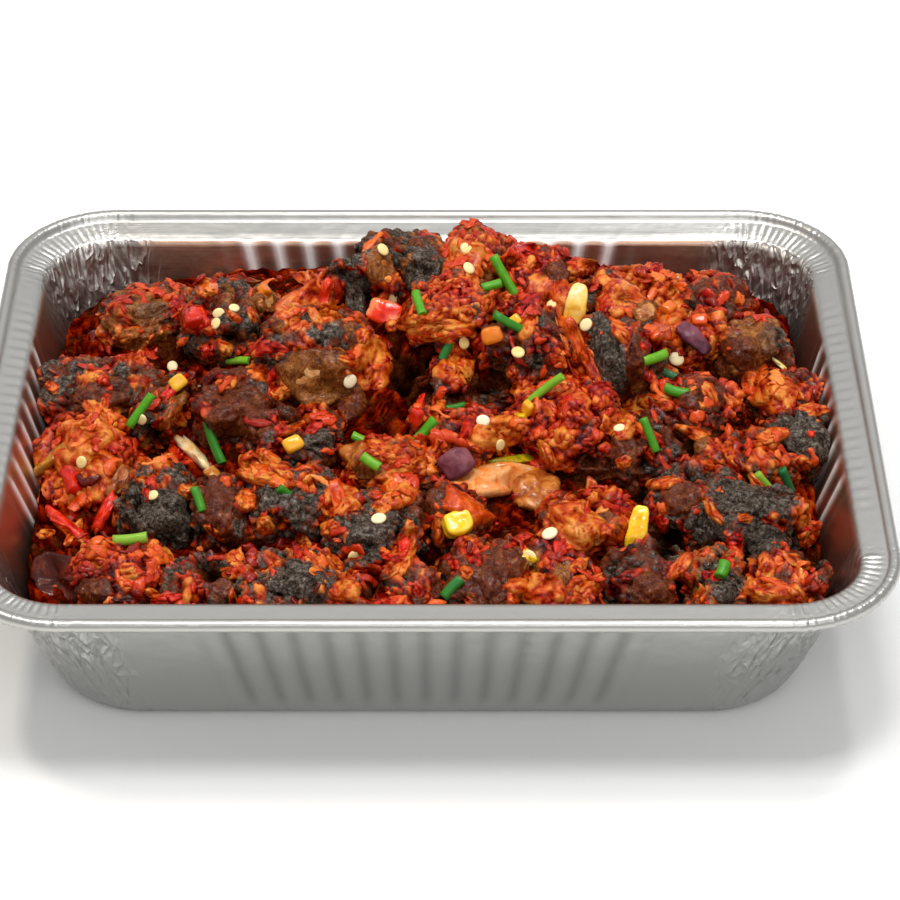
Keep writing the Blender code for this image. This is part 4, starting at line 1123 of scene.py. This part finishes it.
seeds = (
    (-28, 8, 5.6), (-78, 55, 4.8), (-79, 48, 4.4), (-73, 55, 4.6), (-94, 28, 4.8), (14, 67, 5.2),
    (15, 51, 5.6), (-17, 73, 5.0), (-13, 38, 5.0), (13, 19, 4.8), (33, 16, 5.4), (46, 37, 4.8),
    (59, 32, 5.2), (92, 25, 6.0), (-124, -21, 4.6), (-104, 2, 4.4), (-97, -41, 4.6), (-17, -56, 5.6),
    (-25, -75, 5.6), (20, -10, 5.0), (43, -64, 5.8), (36, -76, 6.6), (26, -19, 4.6), (70, -10, 4.4))
seedStops = ((0.0, "#d99a3c"), (0.4, "#f2cf78"), (0.7, "#fbe7b0"), (1.0, "#fff6dd"))
seedMaterial = rampMaterial("chilliSeed", seedStops, 0.4, 1.5, 0.2, 0.1)


# A seed: a flat ball drawn to a blunt point at one end, with a raised rim
def seedGrid(size):
    ways = ballWays(9, 16)
    reach = 1 + 0.16 * ways[..., 0]
    shape = np.array((1, 0.86, 0.36)) * size / 2 * mm
    grid = ways * reach[..., None] * shape
    flat = np.clip(1 - (ways[..., 0] ** 2 + ways[..., 1] ** 2) * 1.3, 0, 1)
    grid[..., 2] *= 1 - 0.25 * flat
    return grid


def laySeeds():
    rng = np.random.default_rng(8)
    grids, shades = [], []
    for x, y, size in seeds:
        spot, up, _ = seenSpot(planSight(x, y))
        tilted = unit(np.array(up) + 0.5 * np.array((0, -0.8, 0.6)))
        turned = frameAt(tilted, rng.normal(size=3))
        grids.append(np.array(spot) + tilted * size * 0.16 * mm + seedGrid(size) @ turned)
        shades.append(rng.uniform(0.45, 0.9))
    joinedPiece("chilli_seeds", grids, shades, seedMaterial)


laySeeds()

# Dice of pepper: plan place x y, side, turn and shade from red over orange to yellow

dice = (
    (24, 22, 7.5, 15, 0.6), (32, 28, 5.0, 40, 0.9), (-48, -17, 7.0, 30, 0.85), (37, -4, 5.5, 60, 0.8),
    (-88, 56, 7.0, 10, 0.1), (-92, 20, 6.5, 35, 0.9), (-62, 62, 6.0, 20, 0.6), (90, 52, 6.0, 50, 0.5),
    (102, 50, 5.5, 5, 0.4), (-3, -8, 6.5, 70, 0.15))
diceStops = ((0.0, "#b81405"), (0.3, "#e0330c"), (0.6, "#e67a16"), (0.8, "#efa41e"), (1.0, "#f5c52c"))
diceMaterial = rampMaterial("stewedPepperDice", diceStops, 0.22, 3.0, 0.4, 0.15)


# A dice: a ball swollen to a rounded box, its corners softened, slightly bent by noise
def diceGrid(side, rng):
    ways = ballWays(13, 20)
    power = 5
    reach = (np.abs(ways) ** power).sum(-1) ** (-1 / power)
    bump = 1 + 0.25 * bumps(ways + 9 * rng.random(3), 1.3, 4)
    return ways * (reach * bump)[..., None] * np.array((1, 0.8, 0.55)) * side / 2 * mm


def layDice():
    rng = np.random.default_rng(12)
    grids, shades = [], []
    for x, y, side, turn, shade in dice:
        spot, up, _ = seenSpot(planSight(x, y))
        heading = lookedHeading(spot, up, turn)
        place = np.array(spot) + np.array(up) * side * 0.15 * mm
        grids.append(place + diceGrid(side, rng) @ frameAt(up, heading))
        shades.append(shade)
    joinedPiece("pepper_dice", grids, shades, diceMaterial)


layDice()
print("chives, seeds and dice laid")

# Larger slices of vegetable: each packed slice's own shape, softened and wrinkled

slices = {
    "orange_pepper_fold": ((0.0, "#8a2c04"), (0.35, "#c95208"), (0.6, "#e0801e"), (0.85, "#e8a060"),
                           (1.0, "#eec090")),
    "yellow_pepper_dice": ((0.0, "#c98a08"), (0.4, "#f0b90c"), (0.7, "#f7cf18"), (1.0, "#fbe25a")),
    "yellow_pepper_bent": ((0.0, "#c97a08"), (0.4, "#f0a80c"), (0.7, "#f7c418"), (1.0, "#fbe25a")),
    "red_onion_petal": ((0.0, "#3a1018"), (0.4, "#5a202c"), (0.7, "#743642"), (1.0, "#8c5058")),
    "red_onion_strip": ((0.0, "#1c0410"), (0.4, "#340c1c"), (0.7, "#48152a"), (1.0, "#783c4c")),
    "garlic_slice": ((0.0, "#d98a14"), (0.4, "#f0b530"), (0.7, "#f8d070"), (1.0, "#fbe6a8")),
    "red_pepper_strip": ((0.0, "#9a0c02"), (0.4, "#d81e04"), (0.7, "#f03c0c"), (1.0, "#f8905a")),
}


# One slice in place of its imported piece, measured from its middle along its own three axes
def slicePiece(number, name):
    triangles = nodeTriangles(name)
    points = triangles.reshape(-1, 3)
    middle = points.mean(0)
    _, _, axes = np.linalg.svd(points - middle, full_matrices=False)
    if np.linalg.det(axes) < 0:
        axes[2] *= -1
    reachOnAxis = np.abs((points - middle) @ axes.T).max(0)
    ways = ballWays(30, 56) * reachOnAxis
    ways = unit(ways @ axes)
    reach = reachAlong(triangles, middle, ways.reshape(-1, 3)).reshape(ways.shape[:2])
    reach = softened(reach, 6)
    grid = middle + ways * reach[..., None]
    normals = gridNormals(grid)
    wrinkle = bumps(grid, 6 * mm, 60 + number) * 1.0 + bumps(grid, 2.5 * mm, 70 + number) * 0.35
    grid = grid + normals * wrinkle[..., None] * mm
    drawEnds(grid)
    # the shade is random noise plus painted light: faces turned upwards are painted lighter
    shade = 0.55 + 0.7 * bumps(grid, 6 * mm, 80 + number) + 0.25 * normals[..., 2]
    quads, faces = ballFaces(*grid.shape[:2])
    piece = meshObject(name + "_slice", ballPoints(grid), quads, faces, {"shade": ballPoints(shade)})
    wet = 0.1 if "onion" in name else 0.4
    material = rampMaterial("stewed_" + name, slices[name], 0.6 - wet, 2.5, wet, 0.15, 0.15, 0.9)
    finishPiece(piece, material, name, slot=recordNodes[name])


for number, name in enumerate(slices):
    slicePiece(number, name)
print("slices:", len(slices))

# Foil tray

tray = {"length": 324, "depth": 264, "height": 65, "foil": 0.45, "rimCorner": 40.6, "flange": 13, "bead": 2.4,
        "dropFront": 1.9, "dropBack": 6.2, "baseInset": 30.6, "baseCorner": 34, "fillet": 7.7,
        "beadFoot": 4.9,
        "levels": (9, 11.5, 14, 16.5, 19, 22, 25, 28, 31, 33.5, 36, 38.5, 41, 43.5, 46, 48.5, 51, 53.5,
                   56, 58),
        "flutePitch": 12, "fluteDepth": 0.75, "flutesLong": 14, "flutesShort": 9,
        "longSteps": 150, "shortSteps": 130, "cornerSteps": 96,
        "ribPitch": 6.2, "ribDepth": 0.25, "pleatPitch": 3.6, "pleatDepth": 0.32, "crinkle": 1.3}


# The tray's ring as arrays: for each column the side it is on, how far along the straight part from
# -1 to 1, the corner's angle, and whether it is straight
def trayColumns():
    side, along, angle = [], [], []
    for number in range(4):
        steps = tray["shortSteps"] if number % 2 else tray["longSteps"]
        side += [number] * (steps + tray["cornerSteps"])
        along += list(np.linspace(-1, 1, steps, endpoint=False)) + [1.0] * tray["cornerSteps"]
        angle += [0.0] * steps + list(np.linspace(0, math.pi / 2, tray["cornerSteps"], endpoint=False))
    return np.array(side), np.array(along), np.array(angle)


# Plan points and outward directions of the ring at an inset with a corner radius
def trayRing(columns, inset, corner):
    side, along, angle = columns
    half = np.array((tray["length"] / 2 - inset, tray["depth"] / 2 - inset))
    run = np.where(side % 2, half[1], half[0])
    reach = np.where(side % 2, half[0], half[1])
    x = along * (run - corner) + corner * np.sin(angle)
    y = -(reach - corner) - corner * np.cos(angle)
    out = np.stack((np.sin(angle), -np.cos(angle)), -1)
    turn = side * math.pi / 2
    sine, cosine = np.sin(turn), np.cos(turn)
    place = np.stack((x * cosine - y * sine, x * sine + y * cosine), -1)
    out = np.stack((out[:, 0] * cosine - out[:, 1] * sine, out[:, 0] * sine + out[:, 1] * cosine), -1)
    return place, out


# The angle of the wall from upright
def wallLean():
    return math.atan((tray["baseInset"] - tray["flange"]) / (tray["height"] - tray["dropFront"]))


# Stations of the section below the flange: inset, height, corner radius, and shares of flutes and wall
# crinkle
def trayStations():
    lean = wallLean()
    slope = math.tan(lean)
    quarter = math.pi / 2 - lean
    centre = tray["baseInset"] + tray["fillet"] * math.tan(quarter / 2)
    for inset, corner in ((120, 2), (75, 8), (50, 20), (centre + 1.5, 26)):
        yield inset, 0.0, corner, 0, 0
    for share in (0, 0.25, 0.5, 0.75, 1):
        turned = quarter * share
        inset = centre - tray["fillet"] * math.sin(turned)
        height = tray["fillet"] * (1 - math.cos(turned))
        yield inset, height, tray["baseCorner"] - max(0, inset - tray["baseInset"]), 0, 0.15 + 0.25 * share
    opening = tray["height"] - tray["dropBack"]
    spread = tray["rimCorner"] - tray["flange"] - tray["baseCorner"]
    for level in tray["levels"]:
        corner = tray["baseCorner"] + spread * level / opening
        flute = min(1, (level - 5) / 6) * min(1, (opening - level) / 2.5 + 0.3)
        yield tray["baseInset"] - level * slope, level, corner, flute, min(1, 0.4 + level / 60)


# How far the flange's inner edge lies below the rim: least at the front, most at the back
def flangeDrop(y):
    share = np.clip(0.5 + y / (tray["depth"] - 2 * tray["flange"]), 0, 1)
    return tray["dropFront"] + (tray["dropBack"] - tray["dropFront"]) * share


# The pressed foil as one sheet from the middle of the base to the bead, given its thickness at the end
def trayPiece():
    columns = trayColumns()
    side, along, angle = columns
    straight = angle == 0
    flutes = np.where(side % 2, tray["flutesShort"], tray["flutesLong"])
    run = np.where(side % 2, tray["depth"], tray["length"]) / 2 - tray["rimCorner"]
    place = along * run / tray["flutePitch"]
    inFlutes = eased(-np.abs(place), -flutes / 2, -flutes / 2 + 0.6) * straight
    # a flute is a flat panel between narrow pressed creases
    crease = np.exp(-(((place + flutes / 2 + 0.5) % 1 - 0.5) / 0.2) ** 2)
    # how far each column is into the crinkled corner zone, which runs past the corner itself
    past = np.where(straight, np.clip(1 - (1 - np.abs(along)) * run / 16, 0, 1), 1.0)
    cornerShare = eased(past, 0, 1)
    # distance round the ring for noise that follows it
    steps = np.where(side % 2, tray["shortSteps"], tray["longSteps"])
    around = np.cumsum(np.where(straight, 2 * run / steps,
                                tray["rimCorner"] * math.pi / 2 / tray["cornerSteps"]))
    rows, paintedCreaseLight, crumpled = [], [], []

    def noiseRow(height, size, seed, shift=0.0):
        spot = np.stack((around / size, np.full_like(around, height), side * 7.0), -1)
        return bumps(spot + shift, 1.0, seed)

    for inset, height, corner, flute, wrinkle in trayStations():
        plan, out = trayRing(columns, inset, corner)
        ridge = 1 - 2 * np.abs(noiseRow(height / 13, 3.6, 2, 0.035 * height))
        small = noiseRow(height / 6, 2.4, 4)
        push = tray["fluteDepth"] * flute * inFlutes * (crease - 0.25)
        push = push + tray["crinkle"] * wrinkle * cornerShare * (0.8 * (ridge - 0.75) + 0.45 * small)
        push = np.minimum(push, 0.9)
        # how strongly the creases' painted light lies on each point
        paintedCreaseLight.append(flute * inFlutes * crease)
        crumpled.append(wrinkle * cornerShare)
        plan = plan - out * push[:, None]
        rows.append(np.concatenate((plan, np.full((len(plan), 1), height)), -1))
    # the opening's edge, the flange and the bead
    top = tray["height"]
    pleat = np.sin(2 * math.pi * around / tray["pleatPitch"] + 3.0 * noiseRow(3.0, 14, 6))
    pleat = cornerShare * (0.75 * pleat + 0.9 * noiseRow(9.0, 2.2, 8))
    ribZone = (side % 2) * straight * eased(-np.abs(along), -0.80, -0.66)
    ribs = ribZone * np.sin(2 * math.pi * along * run / tray["ribPitch"])
    faint = (1 - cornerShare) * (1 - ribZone) * noiseRow(5.0, 7.0, 9)
    for share in (0.0, 0.12, 0.3, 0.5, 0.7, 0.86, 1.0):
        inset = tray["flange"] * (1 - share) + tray["beadFoot"] * share
        if share == 0:
            inset += 0.35
        plan, out = trayRing(columns, inset, tray["rimCorner"] - inset)
        drop = flangeDrop(plan[:, 1])
        low = top - drop
        high = top - np.maximum(2.1, 0.9 + 0.42 * drop)
        height = low + (high - low) * share - (0.5 if share == 0 else 0)
        swell = math.sin(math.pi * min(1, share + 0.1))
        pressed = tray["pleatDepth"] * (pleat - 0.25) + tray["ribDepth"] * ribs + 0.1 * faint
        height = height + swell * pressed
        rows.append(np.concatenate((plan, height[:, None]), -1))
    beadRadius = tray["bead"] - 0.6
    crumple = cornerShare * (noiseRow(20.0, 1.7, 12) + 0.8 * noiseRow(24.0, 0.9, 13))
    for degrees in (-75, -50, -25, 0, 25, 50, 75, 100, 125, 150, 190):
        turned = math.radians(degrees)
        wave = beadRadius * (1 + 0.28 * np.minimum(crumple + 0.1 * math.sin(turned) * faint, 0.3))
        inset = tray["bead"] - beadRadius * math.sin(turned)
        plan, out = trayRing(columns, inset, tray["rimCorner"] - inset)
        plan = plan + out * ((wave - beadRadius) * math.sin(turned))[:, None]
        height = top - tray["bead"] + wave * math.cos(turned)
        rows.append(np.concatenate((plan, height[:, None]), -1))
    grid = np.stack(rows) * mm
    count, wide = grid.shape[:2]
    ids = np.arange(count * wide).reshape(count, wide)
    onward = np.roll(ids, -1, 1)
    quads = np.stack((ids[:-1], onward[:-1], onward[1:], ids[1:]), -1).reshape(-1, 4)
    points = np.concatenate((grid.reshape(-1, 3), [[0, 0, 0]]))
    foot = np.stack((np.full(wide, count * wide), onward[0], ids[0]), -1)
    rest = count - len(paintedCreaseLight)
    paintedCreaseLight += [0 * cornerShare] * rest
    crumpled += [0.12 * cornerShare] * rest
    walls = np.concatenate((np.ones(len(points) - 1 - rest * wide), np.zeros(rest * wide + 1)))
    marks = {"crease": np.append(np.stack(paintedCreaseLight), 0), "crumple": np.append(np.stack(crumpled), 0),
             "wall": walls}
    piece = meshObject("foil_tray_pressed", points, quads, foot, marks)
    wall = piece.modifiers.new("foil", "SOLIDIFY")
    wall.thickness = tray["foil"] * mm
    wall.offset = -1
    wall.material_offset = 1
    # the outer foil's creases are painted darker, a painted shade
    finishPiece(piece, foilMaterial("pressedAluminiumFoil", "#b6b7b4", "#9fa09d"), "foil_tray", slot="foil")
    # the inner foil's creases are painted white, a painted highlight, and its wall is painted brownish
    # (#c09c86), a painted reflection of the food
    piece.data.materials.append(foilMaterial("innerFoilWithPaintedReflection", "#c2c1bd", "#ffffff", "#c09c86", 0.3))


# Cold-rolled aluminium foil, pressed: bright and slightly blurred, with fine rolling marks and small
# dents; the marks are drawn at half a millimetre, coarser than real ones, so that they show. Creases
# are painted with light: darker on the outer side as painted shade, white on the inner side as a
# painted highlight. The inner wall is tinted brownish as a painted reflection of the food
def foilMaterial(name, plain, paintedCreaseLight, paintedFoodReflection=None, blur=0.28):
    material, tree, shader = newMaterial(name)
    spot = add(tree, "TexCoord").outputs["Object"]
    rolled = add(tree, "Mapping", {"Vector": spot, "Scale": (60, 2000, 2000)}).outputs[0]
    lines = add(tree, "TexNoise", {"Vector": rolled, "Scale": 1.0, "Detail": 2.0}).outputs["Fac"]
    dents = grainOf(tree, 9.0, 2.0, 0.5)
    height = maths(tree, "MULTIPLY_ADD", lines, 0.12, dents)
    slanted = add(tree, "Mapping", {"Vector": spot, "Scale": (240, 240, 34),
                                     "Rotation": (0.3, 0.3, 0.0)}).outputs[0]
    folds = add(tree, "TexNoise", {"Vector": slanted, "Scale": 1.0, "Detail": 1.5,
                                    "Distortion": 0.4}).outputs["Fac"]
    folds = maths(tree, "ABSOLUTE", maths(tree, "SUBTRACT", folds, 0.5), 0.0)
    folds = maths(tree, "MULTIPLY", maths(tree, "MULTIPLY", folds, -11.0), mark(tree, "crumple"))
    height = maths(tree, "ADD", height, folds)
    bump = add(tree, "Bump", {"Height": height, "Strength": 0.6, "Distance": 0.5 * mm}).outputs[0]
    colour = blend(tree, mark(tree, "crease"), linear(plain), linear(paintedCreaseLight))
    # painted reflection of the food: the wall below the flange is tinted brownish, less where it is crumpled
    if paintedFoodReflection:
        tinted = blend(tree, mark(tree, "crease"), linear(paintedFoodReflection), linear(paintedCreaseLight))
        reflectionTintShare = maths(tree, "MULTIPLY_ADD", mark(tree, "crumple"), -0.8, mark(tree, "wall"))
        colour = blend(tree, reflectionTintShare, colour, tinted)
    tree.links.new(colour, shader.inputs["Base Color"])
    rough = maths(tree, "MULTIPLY_ADD", lines, 0.14, blur)
    if paintedFoodReflection:
        rough = maths(tree, "MULTIPLY_ADD", mark(tree, "crease"), 0.4, rough)
    tree.links.new(rough, shader.inputs["Roughness"])
    tree.links.new(bump, shader.inputs["Normal"])
    shader.inputs["Metallic"].default_value = 1.0
    return material


trayPiece()
print("foil tray")

# Floor, light and camera

studio = {"floor": "#fcfcfb", "floorHalf": 3.0, "world": 0.48, "worldColour": "#ffffff"}

floorMaterial, _, floorShader = newMaterial("palePaintedBoard")
floorShader.inputs["Base Color"].default_value = linear(studio["floor"])
floorShader.inputs["Roughness"].default_value = 0.9
corners = np.array(((-1, -1, 0), (1, -1, 0), (1, 1, 0), (-1, 1, 0))) * studio["floorHalf"]
floor = meshObject("floor", corners, np.array(((0, 1, 2, 3),)), smooth=False)
floor.data.materials.append(floorMaterial)

lights = {
    "overhead": {"place": (0.05, -0.15, 1.25), "size": (0.36, 0.28), "power": 6.3, "colour": "#ffffff"},
    "key": {"place": (-0.5, 0.1, 1.1), "size": (0.16, 0.12), "power": 3.5, "colour": "#fff4e8"},
    "glint": {"place": (0.4, 0.3, 1.1), "size": (0.14, 0.1), "power": 2, "colour": "#ffffff"},
    "back": {"place": (0.2, 1.2, 0.95), "size": (1.8, 0.6), "power": 1.2, "colour": "#ffffff"},
    "front": {"place": (0.3, -1.0, 1.0), "size": (0.9, 0.6), "power": 3, "colour": "#ffffff"},
}
for name, light in lights.items():
    data = bpy.data.lights.new(name, "AREA")
    data.shape = "RECTANGLE"
    data.size, data.size_y = light["size"]
    data.energy = light["power"]
    data.color = linear(light["colour"])[:3]
    lamp = bpy.data.objects.new(name, data)
    lamp.location = light["place"]
    lamp.rotation_euler = (Vector((0, 0, 0.03)) - lamp.location).to_track_quat("-Z", "Y").to_euler()
    bpy.context.scene.collection.objects.link(lamp)

scene = bpy.context.scene
world = bpy.data.worlds.new("studio")
world.use_nodes = True
scene.world = world
backdrop = world.node_tree.nodes["Background"]
backdrop.inputs["Color"].default_value = linear(studio["worldColour"])
backdrop.inputs["Strength"].default_value = studio["world"]
scene.view_settings.view_transform = "Standard"

cameraData = bpy.data.cameras.new("guestView")
cameraData.lens = guest["lens"]
cameraData.sensor_width = guest["sensor"]
cameraData.clip_start = 0.05
cameraObject = bpy.data.objects.new("guestView", cameraData)
cameraObject.location = guest["eye"]
cameraObject.rotation_euler = (math.pi / 2 - guest["pitch"], 0, 0)
scene.collection.objects.link(cameraObject)
scene.camera = cameraObject

print("scene ready")
